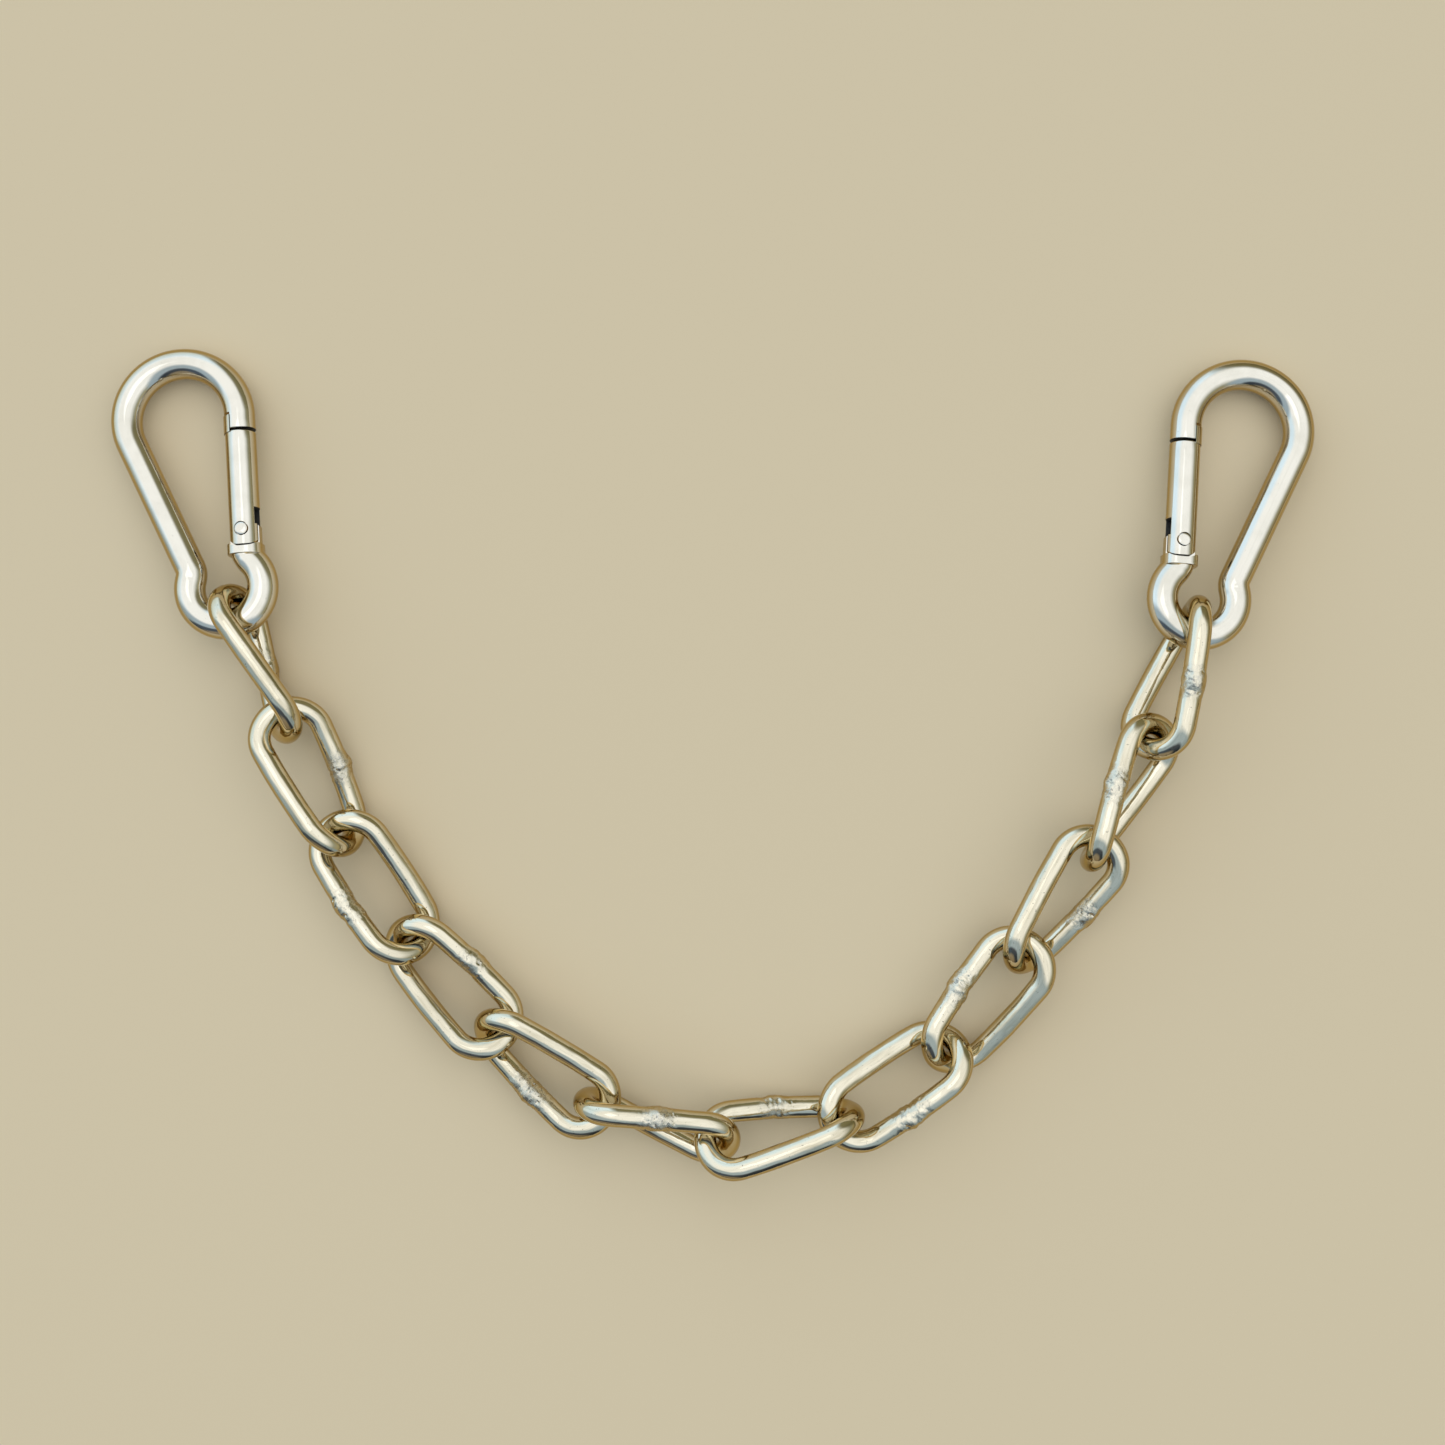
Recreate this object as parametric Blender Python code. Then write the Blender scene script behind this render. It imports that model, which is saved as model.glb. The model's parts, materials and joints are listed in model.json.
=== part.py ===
"""Short twisted-link chain with a spring snap hook at each end, lying flat.

Metres, +Z up. The chain lies in a hanging U with +Y towards the hooks' bows,
and rests on the plane Z = 0 with the middle of its bounding box over the origin.
Each snap hook is a bent round wire: bow, spine and eye, closed by a sprung gate.
"""

from math import acos, asin, cos, pi, radians, sin, sqrt

import bmesh
import bpy
from mathutils import Matrix, Vector

# ---- snap hook: driving dimensions ----
HOOK_LENGTH = 0.080
HOOK_WIRE = 0.008
BOW_RADIUS = 0.0151
EYE_RADIUS = 0.0097
GATE_LEAN = radians(11.4)
SPINE_LEAN = radians(10.7)
KINK_LEG = 0.0024
NOSE_LENGTH = 0.0045
GATE_ARM = 0.0028

# ---- gate, latch and hinge ----
GATE_DIAMETER = HOOK_WIRE
GATE_BORE = 0.0052
BORE_LENGTH = 0.0175
LATCH_GAP = 0.0006
LATCH_STEP = 0.0026
LATCH_HEIGHT = 0.0044
LATCH_PROUD = 0.0003
PIVOT_HEIGHT = 0.0041
SEAT_RISE = 0.0014
RIVET_DIAMETER = 0.0024
RIVET_HEAD = 0.0034
RIVET_HEAD_DEPTH = 0.0009
RIVET_CROWN = 0.00015
RIVET_FACE = 0.8
RIVET_CLEARANCE = 0.0002
TONGUE_THICKNESS = 0.0026
TONGUE_RISE = 0.0026
TONGUE_INSET = 0.0020
TONGUE_SHOULDER = 0.0011
WINDOW_RISE = 0.0059
COLLAR_DIAMETER = HOOK_WIRE + 0.0004
COLLAR_THICKNESS = 0.0022
GAP = 0.0003

# ---- plunger and spring inside the gate ----
BORE_CLEARANCE = 0.0003
STEM_CLEARANCE = 0.0005
PLUNGER_HEAD = GATE_BORE - 2 * BORE_CLEARANCE
PLUNGER_HEAD_LENGTH = 0.0034
PLUNGER_STEM_LENGTH = 0.0060
PLUNGER_TRAVEL = 0.0006
SPRING_WIRE = 0.0006
SPRING_DIAMETER = GATE_BORE - 2 * BORE_CLEARANCE
SPRING_TURNS = 7
PLUNGER_STEM = SPRING_DIAMETER - 2 * SPRING_WIRE - 2 * STEM_CLEARANCE

# ---- chain ----
LINK_WIRE = 0.006
LINK_PITCH = 0.0335
LINK_ROOM = 0.0048
LINK_WIDTH = 3 * LINK_WIRE + LINK_ROOM
LINK_TWIST = radians(-55)
WELD_SWELL = 1.10
WELD_LENGTH = 0.006
WELD_BOW = 0.0004
CHAIN_GAP = 0.0004
EYE_GAP = 0.0006

# How each link lies, from the left hook to the right: its heading on the
# surface, its rise along that heading and its roll, in degrees. The weld is on
# the arm that the roll turns to the left of the heading.
LINK_LAY = (
    (-66, 2, -95),
    (-64, -4, -41),
    (-57, -3, 166),
    (-46, 5, 7),
    (-37, 5, 207),
    (-17, -3, 68),
    (11, -3, -59),
    (33, -5, 166),
    (53, 5, 9),
    (55, 4, 209),
    (63, -2, 56),
    (71, -1, 110),
)

# How the hooks lie: how far each leans to the left, how high its eye is held,
# and where round the eye the end link pulls.
LEFT_LEAN = radians(16)
RIGHT_LEAN = radians(-16)
EYE_HEIGHT = 0.0103
LEFT_PULL = radians(-80)
RIGHT_PULL = radians(-92)

# ---- fineness of the round shapes, and how far a cutter runs past its cut ----
HOOK_RINGS = 4
LINK_RINGS = 3
SPRING_RINGS = 1
END_STEPS = 8
ARM_STEPS = 7
TURN_STEPS = 9
BEND_STEPS = 2
ROUND_SIDES = 24
HOLE_SIDES = 20
STEM_SIDES = 16
CAP_REACH = 1e-6
SHARP_EDGE = radians(35)
SLACK = 0.002


# ---- scene and small helpers ----
def clear_scene():
    """Empty the scene and make the two collections."""
    for item in list(bpy.data.objects):
        bpy.data.objects.remove(item)
    groups = []
    for name in ("snap_hook_chain", "cutters"):
        group = bpy.data.collections.new(name)
        bpy.context.scene.collection.children.link(group)
        groups.append(group)
    return groups


def material(name, colour, roughness):
    """A metal finish."""
    finish = bpy.data.materials.new(name)
    finish.use_nodes = True
    shader = finish.node_tree.nodes["Principled BSDF"]
    shader.inputs["Base Color"].default_value = (*colour, 1.0)
    shader.inputs["Roughness"].default_value = roughness
    shader.inputs["Metallic"].default_value = 1.0
    return finish


def new_object(name, mesh):
    """An object in the cutters' collection, out of sight of a render."""
    made = bpy.data.objects.new(name, mesh)
    CUTTERS.objects.link(made)
    made.hide_render = True
    made.display_type = "WIRE"
    return made


def settled_mesh(source, name):
    """The evaluated mesh of an object, with its loose caps welded on."""
    bpy.context.view_layer.update()
    depsgraph = bpy.context.evaluated_depsgraph_get()
    mesh = bpy.data.meshes.new_from_object(source.evaluated_get(depsgraph))
    mesh.name = name
    shape = bmesh.new()
    shape.from_mesh(mesh)
    bmesh.ops.remove_doubles(shape, verts=shape.verts, dist=CAP_REACH)
    bmesh.ops.recalc_face_normals(shape, faces=shape.faces)
    shape.to_mesh(mesh)
    shape.free()
    return mesh


def wire(name, points, diameter, rings, closed=False, swells=None):
    """A round wire along a line of points, as a mesh object."""
    curve = bpy.data.curves.new(name, "CURVE")
    curve.dimensions = "3D"
    curve.bevel_depth = diameter / 2
    curve.bevel_resolution = rings
    curve.use_fill_caps = not closed
    spline = curve.splines.new("POLY")
    spline.points.add(len(points) - 1)
    for index, point in enumerate(points):
        spline.points[index].co = (*point, 1.0)
        spline.points[index].radius = swells[index] if swells else 1.0
    spline.use_cyclic_u = closed
    path = new_object(name + "_path", curve)
    made = new_object(name, settled_mesh(path, name))
    bpy.data.objects.remove(path)
    bpy.data.curves.remove(curve)
    return made


def rod(name, diameter, start, end, sides=ROUND_SIDES, end_diameter=None):
    """A round rod or cone from one point to another, as a mesh object."""
    start = Vector(start)
    along = Vector(end) - start
    far = diameter if end_diameter is None else end_diameter
    shape = bmesh.new()
    bmesh.ops.create_cone(
        shape,
        cap_ends=True,
        segments=sides,
        radius1=diameter / 2,
        radius2=far / 2,
        depth=along.length,
    )
    turn = along.to_track_quat("Z", "Y").to_matrix().to_4x4()
    shape.transform(Matrix.Translation(start + along / 2) @ turn)
    mesh = bpy.data.meshes.new(name)
    shape.to_mesh(mesh)
    shape.free()
    return new_object(name, mesh)


def plate(name, outline, thickness):
    """A flat plate in the XY plane, centred on it, as a mesh object."""
    curve = bpy.data.curves.new(name, "CURVE")
    curve.dimensions = "2D"
    curve.fill_mode = "BOTH"
    curve.extrude = thickness / 2
    spline = curve.splines.new("POLY")
    spline.points.add(len(outline) - 1)
    for knot, (x, y) in zip(spline.points, outline):
        knot.co = (x, y, 0.0, 1.0)
    spline.use_cyclic_u = True
    path = new_object(name + "_outline", curve)
    made = new_object(name, settled_mesh(path, name))
    bpy.data.objects.remove(path)
    bpy.data.curves.remove(curve)
    return made


def combine(target, other, operation):
    """Cut, join or trim one object with another."""
    step = target.modifiers.new(other.name, "BOOLEAN")
    step.operation = operation
    step.object = other


def arc(centre, radius, start, end, steps):
    """Points round an arc in the XY plane, both ends included."""
    points = []
    for index in range(steps + 1):
        angle = start + (end - start) * index / steps
        points.append(centre + radius * Vector((cos(angle), sin(angle), 0.0)))
    return points


def bend(start, corner, end):
    """Points inside a tight bend that leaves its corner out."""
    points = []
    for index in range(1, BEND_STEPS):
        share = index / BEND_STEPS
        near = start.lerp(corner, share)
        points.append(near.lerp(corner.lerp(end, share), share))
    return points


# ---- snap hook geometry: eye at the origin, bow along +Y, gate on +X ----
def eye_crossing(tangent, upward):
    """Where a side of the hook, run down from the bow, first meets the eye."""
    nearest = tangent.dot(upward)
    offset = sqrt(max(tangent.length_squared - nearest**2, 0.0))
    return tangent - (nearest - sqrt(EYE_RADIUS**2 - offset**2)) * upward


BOW_CENTRE = Vector((0.0, HOOK_LENGTH - BOW_RADIUS - EYE_RADIUS - HOOK_WIRE, 0.0))
UP_GATE = Vector((sin(GATE_LEAN), cos(GATE_LEAN), 0.0))
OUT_OF_GATE = Vector((cos(GATE_LEAN), -sin(GATE_LEAN), 0.0))
UP_SPINE = Vector((-sin(SPINE_LEAN), cos(SPINE_LEAN), 0.0))
OUT_OF_SPINE = Vector((-cos(SPINE_LEAN), -sin(SPINE_LEAN), 0.0))
GATE_TANGENT = BOW_CENTRE + BOW_RADIUS * OUT_OF_GATE
SPINE_TANGENT = BOW_CENTRE + BOW_RADIUS * OUT_OF_SPINE
NOSE_END = GATE_TANGENT - NOSE_LENGTH * UP_GATE
GATE_ROOT = eye_crossing(GATE_TANGENT, UP_GATE)
SPINE_FOOT = eye_crossing(SPINE_TANGENT, UP_SPINE)
GATE_LENGTH = (NOSE_END - GATE_ROOT).dot(UP_GATE) - GATE_ARM - LATCH_GAP
GATE_FOOT = GATE_ROOT + GATE_ARM * UP_GATE
PIVOT = GATE_FOOT + PIVOT_HEIGHT * UP_GATE
GATE_FRAME = Matrix(
    (
        (OUT_OF_GATE.x, UP_GATE.x, 0.0, PIVOT.x),
        (OUT_OF_GATE.y, UP_GATE.y, 0.0, PIVOT.y),
        (0.0, 0.0, 1.0, 0.0),
        (0.0, 0.0, 0.0, 1.0),
    )
)
PLUNGER_FOOT = TONGUE_RISE + GAP
PLUNGER_TOP = PLUNGER_FOOT + PLUNGER_HEAD_LENGTH
SPRING_FOOT = PLUNGER_TOP + PLUNGER_TRAVEL + GAP
BORE_END = PLUNGER_FOOT + BORE_LENGTH


def hook_path():
    """The wire's centre line, from the nose round the bow, spine and eye."""
    eye_start = acos(SPINE_FOOT.x / EYE_RADIUS) + KINK_LEG / EYE_RADIUS
    eye_end = 2 * pi + asin(GATE_ROOT.y / EYE_RADIUS) - KINK_LEG / EYE_RADIUS
    bow = arc(BOW_CENTRE, BOW_RADIUS, -GATE_LEAN, pi + SPINE_LEAN, 2 * TURN_STEPS)
    eye = arc(Vector((0, 0, 0)), EYE_RADIUS, eye_start, eye_end, 2 * TURN_STEPS)
    spine_end = SPINE_FOOT + KINK_LEG * UP_SPINE
    gate_start = GATE_ROOT + KINK_LEG * UP_GATE
    points = [NOSE_END, *bow, spine_end]
    points += bend(spine_end, SPINE_FOOT, eye[0])
    points += eye
    points += bend(eye[-1], GATE_ROOT, gate_start)
    points += [gate_start, GATE_FOOT + (SEAT_RISE / 2 - GAP) * UP_GATE]
    return points


def in_hook(made):
    """Move a shape drawn about the gate's pivot into the hook."""
    made.data.transform(GATE_FRAME)
    return made


def tongue_outline():
    """The hinge tongue: from inside the collar up to the plunger."""
    inner = GAP - HOOK_WIRE / 2
    outer = HOOK_WIRE / 2
    root = -PIVOT_HEIGHT - COLLAR_THICKNESS
    return (
        (inner, root),
        (outer, root),
        (outer, TONGUE_SHOULDER),
        (GAP, TONGUE_RISE),
        (-TONGUE_INSET, TONGUE_RISE),
        (inner, TONGUE_RISE / 2),
    )


def hook_body_mesh():
    """Bent wire with its collar, seat, hinge tongue, rivet hole and stepped nose."""
    body = wire("hook_wire", hook_path(), HOOK_WIRE, HOOK_RINGS)
    seat_foot = -PIVOT_HEIGHT - GAP
    collar_foot = (0, seat_foot - COLLAR_THICKNESS, 0)
    collar = rod("collar", COLLAR_DIAMETER, collar_foot, (0, seat_foot + SEAT_RISE, 0))
    through = (0, 0, HOOK_WIRE)
    seat = rod("gate_seat", -2 * seat_foot, (0, 0, -HOOK_WIRE), through, 2 * ROUND_SIDES)
    tongue = plate("tongue", tongue_outline(), TONGUE_THICKNESS)
    hole_width = RIVET_DIAMETER + 2 * RIVET_CLEARANCE
    hole = rod("tongue_hole", hole_width, (0, 0, -HOOK_WIRE), through, HOLE_SIDES)
    seam = GATE_LENGTH + LATCH_GAP - PIVOT_HEIGHT
    step_face = LATCH_STEP - HOOK_WIRE / 2
    step_outline = (
        (-HOOK_WIRE, seam - SLACK),
        (step_face, seam - SLACK),
        (step_face, seam + LATCH_HEIGHT),
        (-HOOK_WIRE, seam + LATCH_HEIGHT),
    )
    step = plate("nose_step", step_outline, 2 * HOOK_WIRE)
    combine(body, in_hook(collar), "UNION")
    combine(body, in_hook(seat), "DIFFERENCE")
    combine(body, in_hook(tongue), "UNION")
    combine(body, in_hook(hole), "DIFFERENCE")
    combine(body, in_hook(step), "DIFFERENCE")
    return settled_mesh(body, "hook_body")


def gate_mesh():
    """The gate about its pivot: a bored bar with a slotted foot and a latch."""
    radius = GATE_DIAMETER / 2
    below = -PIVOT_HEIGHT - SLACK
    top = GATE_LENGTH - PIVOT_HEIGHT
    bar = rod("gate_bar", GATE_DIAMETER, (0, below + SLACK / 2, 0), (0, top, 0))
    latch_top = top + LATCH_HEIGHT
    latch_width = GATE_DIAMETER + 2 * LATCH_PROUD
    latch = rod("latch", latch_width, (0, top - radius, 0), (0, latch_top, 0))
    latch_face = LATCH_STEP - HOOK_WIRE / 2 - GAP
    kept = (
        (-GATE_DIAMETER, top - SLACK / 2),
        (latch_face, top - SLACK / 2),
        (latch_face, latch_top + SLACK),
        (-GATE_DIAMETER, latch_top + SLACK),
    )
    latch_block = plate("latch_block", kept, 2 * GATE_DIAMETER)
    combine(latch, latch_block, "INTERSECT")
    combine(bar, latch, "UNION")

    rounding = arc(Vector((0, 0, 0)), PIVOT_HEIGHT, 0, -pi, 2 * END_STEPS)
    foot_outline = [(-GATE_DIAMETER, 0.0), (-GATE_DIAMETER, below)]
    foot_outline += [(GATE_DIAMETER, below), (GATE_DIAMETER, 0.0)]
    foot_outline += [(point.x, point.y) for point in rounding]
    foot = plate("foot_round", foot_outline, 2 * GATE_DIAMETER)
    combine(bar, foot, "DIFFERENCE")

    bore = rod("bore", GATE_BORE, (0, below, 0), (0, BORE_END, 0))
    combine(bar, bore, "DIFFERENCE")

    tongue_sweep = sqrt(TONGUE_INSET**2 + TONGUE_RISE**2)
    slot_outline = (
        (-GATE_DIAMETER, below),
        (GATE_DIAMETER, below),
        (GATE_DIAMETER, WINDOW_RISE),
        (0, WINDOW_RISE),
        (0, tongue_sweep + GAP),
        (-GATE_DIAMETER, tongue_sweep + GAP),
    )
    slot = plate("slot", slot_outline, TONGUE_THICKNESS + 2 * GAP)
    combine(bar, slot, "DIFFERENCE")

    hole_width = RIVET_DIAMETER + 2 * RIVET_CLEARANCE
    across = (0, 0, GATE_DIAMETER)
    hole = rod("gate_hole", hole_width, (0, 0, -GATE_DIAMETER), across, HOLE_SIDES)
    combine(bar, hole, "DIFFERENCE")
    for side in (-1, 1):
        seat = side * (radius - RIVET_HEAD_DEPTH - RIVET_CLEARANCE)
        sink_width = RIVET_HEAD + 2 * RIVET_CLEARANCE
        beyond = (0, 0, 2 * side * radius)
        sink = rod(f"head_sink_{side}", sink_width, (0, 0, seat), beyond, HOLE_SIDES)
        combine(bar, sink, "DIFFERENCE")
    return settled_mesh(bar, "gate")


def rivet_mesh():
    """The hinge rivet about its own centre, with a low head at each end."""
    radius = GATE_DIAMETER / 2
    shoulder = radius - RIVET_HEAD_DEPTH
    rivet = rod("rivet_shank", RIVET_DIAMETER, (0, 0, -shoulder), (0, 0, shoulder), HOLE_SIDES)
    face = RIVET_FACE * RIVET_HEAD
    for side in (-1, 1):
        start = (0, 0, side * shoulder)
        crown = (0, 0, side * (radius + RIVET_CROWN))
        head = rod(f"rivet_head_{side}", RIVET_HEAD, start, crown, HOLE_SIDES, face)
        combine(rivet, head, "UNION")
    return settled_mesh(rivet, "gate_rivet")


def plunger_mesh():
    """The pusher: a round head under the spring and a stem inside it."""
    head = rod("plunger_head", PLUNGER_HEAD, (0, PLUNGER_FOOT, 0), (0, PLUNGER_TOP, 0))
    root = PLUNGER_TOP - PLUNGER_HEAD_LENGTH / 2
    stem_end = PLUNGER_TOP + PLUNGER_STEM_LENGTH
    stem = rod("plunger_stem", PLUNGER_STEM, (0, root, 0), (0, stem_end, 0), STEM_SIDES)
    combine(head, stem, "UNION")
    return settled_mesh(head, "plunger")


def spring_mesh():
    """The gate's coil spring between the plunger and the end of the bore."""
    reach = BORE_END - GAP - SPRING_FOOT - SPRING_WIRE
    radius = (SPRING_DIAMETER - SPRING_WIRE) / 2
    steps = SPRING_TURNS * TURN_STEPS
    points = []
    for index in range(steps + 1):
        share = index / steps
        angle = 2 * pi * SPRING_TURNS * share
        height = SPRING_FOOT + SPRING_WIRE / 2 + reach * share
        points.append(Vector((radius * cos(angle), height, radius * sin(angle))))
    coil = wire("spring_coil", points, SPRING_WIRE, SPRING_RINGS)
    return settled_mesh(coil, "gate_spring")


# ---- chain geometry ----
LINK_SPAN = LINK_PITCH + LINK_WIRE
LINK_ARM = (LINK_WIDTH - LINK_WIRE) / 2


def link_outline():
    """Points round one link, before the twist: near end, weld arm, far end."""
    straight = LINK_SPAN / 2 - LINK_ARM
    half = arc(Vector((straight, 0, 0)), LINK_ARM, pi / 2, -pi / 2, END_STEPS)
    points = []
    for index in range(1, ARM_STEPS):
        share = index / ARM_STEPS
        bulge = WELD_BOW * weld_share(straight * (2 * share - 1))
        points.append(Vector((straight * (2 * share - 1), LINK_ARM + bulge, 0)))
    points += half
    for index in range(1, ARM_STEPS):
        points.append(Vector((straight * (1 - 2 * index / ARM_STEPS), -LINK_ARM, 0)))
    points += [Vector((-point.x, -point.y, 0)) for point in half]
    return points


def weld_share(along):
    """How much of the weld's swell there is at a place along its arm."""
    return max(0.0, 1.0 - (2 * along / WELD_LENGTH) ** 2)


def link_mesh():
    """One welded link about its middle, twisted along its length."""
    points = []
    swells = []
    for point in link_outline():
        angle = LINK_TWIST * point.x / LINK_SPAN
        points.append(Vector((point.x, point.y * cos(angle), point.y * sin(angle))))
        on_weld = weld_share(point.x) if point.y > 0 else 0.0
        swells.append(1.0 + (WELD_SWELL - 1.0) * on_weld)
    return settled_mesh(wire("link_wire", points, LINK_WIRE, LINK_RINGS, True, swells), "link")


# ---- laying the pieces out ----
def hook_frame(lean, turned, eye):
    """A hook's place: its bow on the surface and its eye held up."""
    reach = BOW_CENTRE.y + BOW_RADIUS
    tilt = asin((EYE_HEIGHT - HOOK_WIRE / 2) / reach)
    side = Vector((cos(lean), sin(lean), 0.0))
    if turned:
        side = -side
    along = Vector((-sin(lean) * cos(tilt), cos(lean) * cos(tilt), -sin(tilt)))
    frame = Matrix((side, along, side.cross(along))).transposed().to_4x4()
    frame.translation = eye
    return frame


def link_axes(heading, rise, roll):
    """The three directions of a link that lies at these angles, in degrees."""
    heading, rise, roll = radians(heading), radians(rise), radians(roll)
    along = Vector((cos(rise) * cos(heading), cos(rise) * sin(heading), sin(rise)))
    level = Vector((-sin(heading), cos(heading), 0.0))
    arm = level * cos(roll) + along.cross(level) * sin(roll)
    return along, arm, along.cross(arm)


def pull_line(first_bar, second_bar, along):
    """The direction in which two crossed bars pull on each other."""
    line = first_bar.cross(second_bar).normalized()
    return line if line.dot(along) > 0 else -line


def lay_chain(left_frame):
    """Place every link against the one before it, from the left hook on."""
    radial = Vector((cos(LEFT_PULL), sin(LEFT_PULL), 0.0))
    turn = left_frame.to_3x3()
    pivot = left_frame @ (EYE_RADIUS * radial)
    bar = turn @ Vector((-sin(LEFT_PULL), cos(LEFT_PULL), 0.0))
    reach = (HOOK_WIRE + LINK_WIRE) / 2 + EYE_GAP
    laid = []
    for angles in LINK_LAY:
        along, arm, face = link_axes(*angles)
        half_twist = LINK_TWIST / 2
        near_bar = arm * cos(half_twist) - face * sin(half_twist)
        far_bar = arm * cos(half_twist) + face * sin(half_twist)
        near = pivot - reach * pull_line(bar, near_bar, along)
        frame = Matrix((along, arm, face)).transposed().to_4x4()
        frame.translation = near + along * LINK_SPAN / 2
        laid.append((frame, pivot.copy(), bar.copy()))
        pivot = near + along * LINK_SPAN
        bar = far_bar
        reach = LINK_WIRE + CHAIN_GAP
    return laid, pivot, bar, along


def right_hook_place(pivot, bar, along):
    """Where the right hook's eye lies when the last link pulls on it."""
    turn = hook_frame(RIGHT_LEAN, True, Vector((0, 0, 0)))
    radial = turn @ Vector((cos(RIGHT_PULL), sin(RIGHT_PULL), 0.0))
    rim = turn @ Vector((-sin(RIGHT_PULL), cos(RIGHT_PULL), 0.0))
    reach = (HOOK_WIRE + LINK_WIRE) / 2 + EYE_GAP
    contact = pivot - reach * pull_line(bar, rim, along)
    return hook_frame(RIGHT_LEAN, True, contact - EYE_RADIUS * radial)


def place(name, mesh, parent, matrix):
    """One named piece, or a bare frame where there is no mesh."""
    made = bpy.data.objects.new(name, mesh)
    PARTS.objects.link(made)
    made.parent = parent
    made.matrix_local = matrix
    return made


def finished(mesh, finish):
    """A mesh with its material, shaded smooth up to its sharp edges."""
    mesh.materials.clear()
    mesh.materials.append(finish)
    mesh.shade_smooth()
    mesh.set_sharp_from_angle(angle=SHARP_EDGE)
    return mesh


def place_hook(side, meshes, parent, frame):
    """A snap hook: its body, and the gate with what the gate carries."""
    body = place(f"{side}_hook_body", meshes["body"], parent, frame)
    gate = place(f"{side}_gate", meshes["gate"], body, GATE_FRAME)
    for name in ("gate_rivet", "plunger", "gate_spring"):
        place(f"{side}_{name}", meshes[name], gate, Matrix.Identity(4))


def place_link(number, mesh, parent, laid):
    """A link, hung from a frame on the bar that it swings about."""
    frame, pivot, bar = laid
    hinge = Matrix.Translation(pivot) @ bar.to_track_quat("Z", "Y").to_matrix().to_4x4()
    joint = place(f"link_{number:02d}_hinge", None, parent, hinge)
    place(f"link_{number:02d}", mesh, joint, hinge.inverted() @ frame)


def stand_on_surface(frame):
    """Bring the box of all pieces to rest on Z = 0, centred over the origin."""
    bpy.context.view_layer.update()
    corners = []
    for piece in PARTS.objects:
        if piece.type == "MESH":
            corners += [piece.matrix_world @ vertex.co for vertex in piece.data.vertices]
    low = Vector([min(corner[axis] for corner in corners) for axis in range(3)])
    high = Vector([max(corner[axis] for corner in corners) for axis in range(3)])
    frame.location = Vector((-(low.x + high.x) / 2, -(low.y + high.y) / 2, -low.z))
    bpy.context.view_layer.update()


def main():
    """Make every piece once and lay the copies out."""
    plated = material("plated_steel", (0.72, 0.72, 0.70), 0.22)
    chain_steel = material("chain_steel", (0.68, 0.66, 0.60), 0.30)
    spring_steel = material("spring_steel", (0.45, 0.45, 0.46), 0.35)
    meshes = {
        "body": finished(hook_body_mesh(), plated),
        "gate": finished(gate_mesh(), plated),
        "gate_rivet": finished(rivet_mesh(), plated),
        "plunger": finished(plunger_mesh(), spring_steel),
        "gate_spring": finished(spring_mesh(), spring_steel),
    }
    link = finished(link_mesh(), chain_steel)
    chain = place("chain_frame", None, None, Matrix.Identity(4))
    left = hook_frame(LEFT_LEAN, False, Vector((0.0, 0.0, EYE_HEIGHT)))
    place_hook("left", meshes, chain, left)
    links, pivot, bar, along = lay_chain(left)
    for index, laid in enumerate(links):
        place_link(index + 1, link, chain, laid)
    hinge = Matrix.Translation(pivot) @ bar.to_track_quat("Z", "Y").to_matrix().to_4x4()
    joint = place("right_hook_hinge", None, chain, hinge)
    right = right_hook_place(pivot, bar, along)
    place_hook("right", meshes, joint, hinge.inverted() @ right)
    stand_on_surface(chain)


PARTS, CUTTERS = clear_scene()
main()
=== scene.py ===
import json
from itertools import accumulate
from math import acos, asin, atan2, cos, exp, hypot, pi, radians, sin, sqrt
from random import Random

import bmesh
import bpy
from bpy.props import FloatProperty, FloatVectorProperty, IntProperty, PointerProperty
from mathutils import Matrix, Vector, noise


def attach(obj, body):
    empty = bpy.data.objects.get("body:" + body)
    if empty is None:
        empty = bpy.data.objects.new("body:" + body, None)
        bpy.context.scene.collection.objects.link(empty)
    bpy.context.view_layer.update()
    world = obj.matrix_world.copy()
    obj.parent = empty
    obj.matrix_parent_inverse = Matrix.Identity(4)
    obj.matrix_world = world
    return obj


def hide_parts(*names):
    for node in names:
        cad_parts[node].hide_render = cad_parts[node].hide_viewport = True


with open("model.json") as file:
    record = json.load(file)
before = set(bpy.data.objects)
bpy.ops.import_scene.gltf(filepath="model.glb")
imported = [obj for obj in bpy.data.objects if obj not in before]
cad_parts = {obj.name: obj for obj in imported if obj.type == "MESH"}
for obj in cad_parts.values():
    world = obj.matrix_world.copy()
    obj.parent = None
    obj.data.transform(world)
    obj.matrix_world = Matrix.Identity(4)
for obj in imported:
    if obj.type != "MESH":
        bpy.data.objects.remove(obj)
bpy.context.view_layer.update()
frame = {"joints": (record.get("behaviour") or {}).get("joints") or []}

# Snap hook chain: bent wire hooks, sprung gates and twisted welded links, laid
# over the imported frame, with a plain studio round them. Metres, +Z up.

bl_info = {
    "name": "Snap Hook Chain",
    "version": (1, 0, 0),
    "blender": (4, 5, 0),
    "location": "3D View > Sidebar > Snap Hook Chain",
    "description": "Wire snap hooks, their gates and a twisted welded chain",
    "category": "Add Mesh",
}

# How each link lies, from the left hook to the right: heading, rise and roll in
# degrees. The weld is on the arm that the roll turns to the left of the heading.
LINK_LAY = (
    (-66, 2, -95), (-64, -4, -41), (-57, -3, 166), (-46, 5, 7),
    (-37, 5, 207), (-17, -3, 68), (11, -3, -59), (33, -5, 166),
    (53, 5, 9), (55, 4, 209), (63, -2, 56), (71, -1, 110),
)
LAY_TOLERANCE = 0.0001  # how far a link may lie from its joint in the frame

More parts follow.
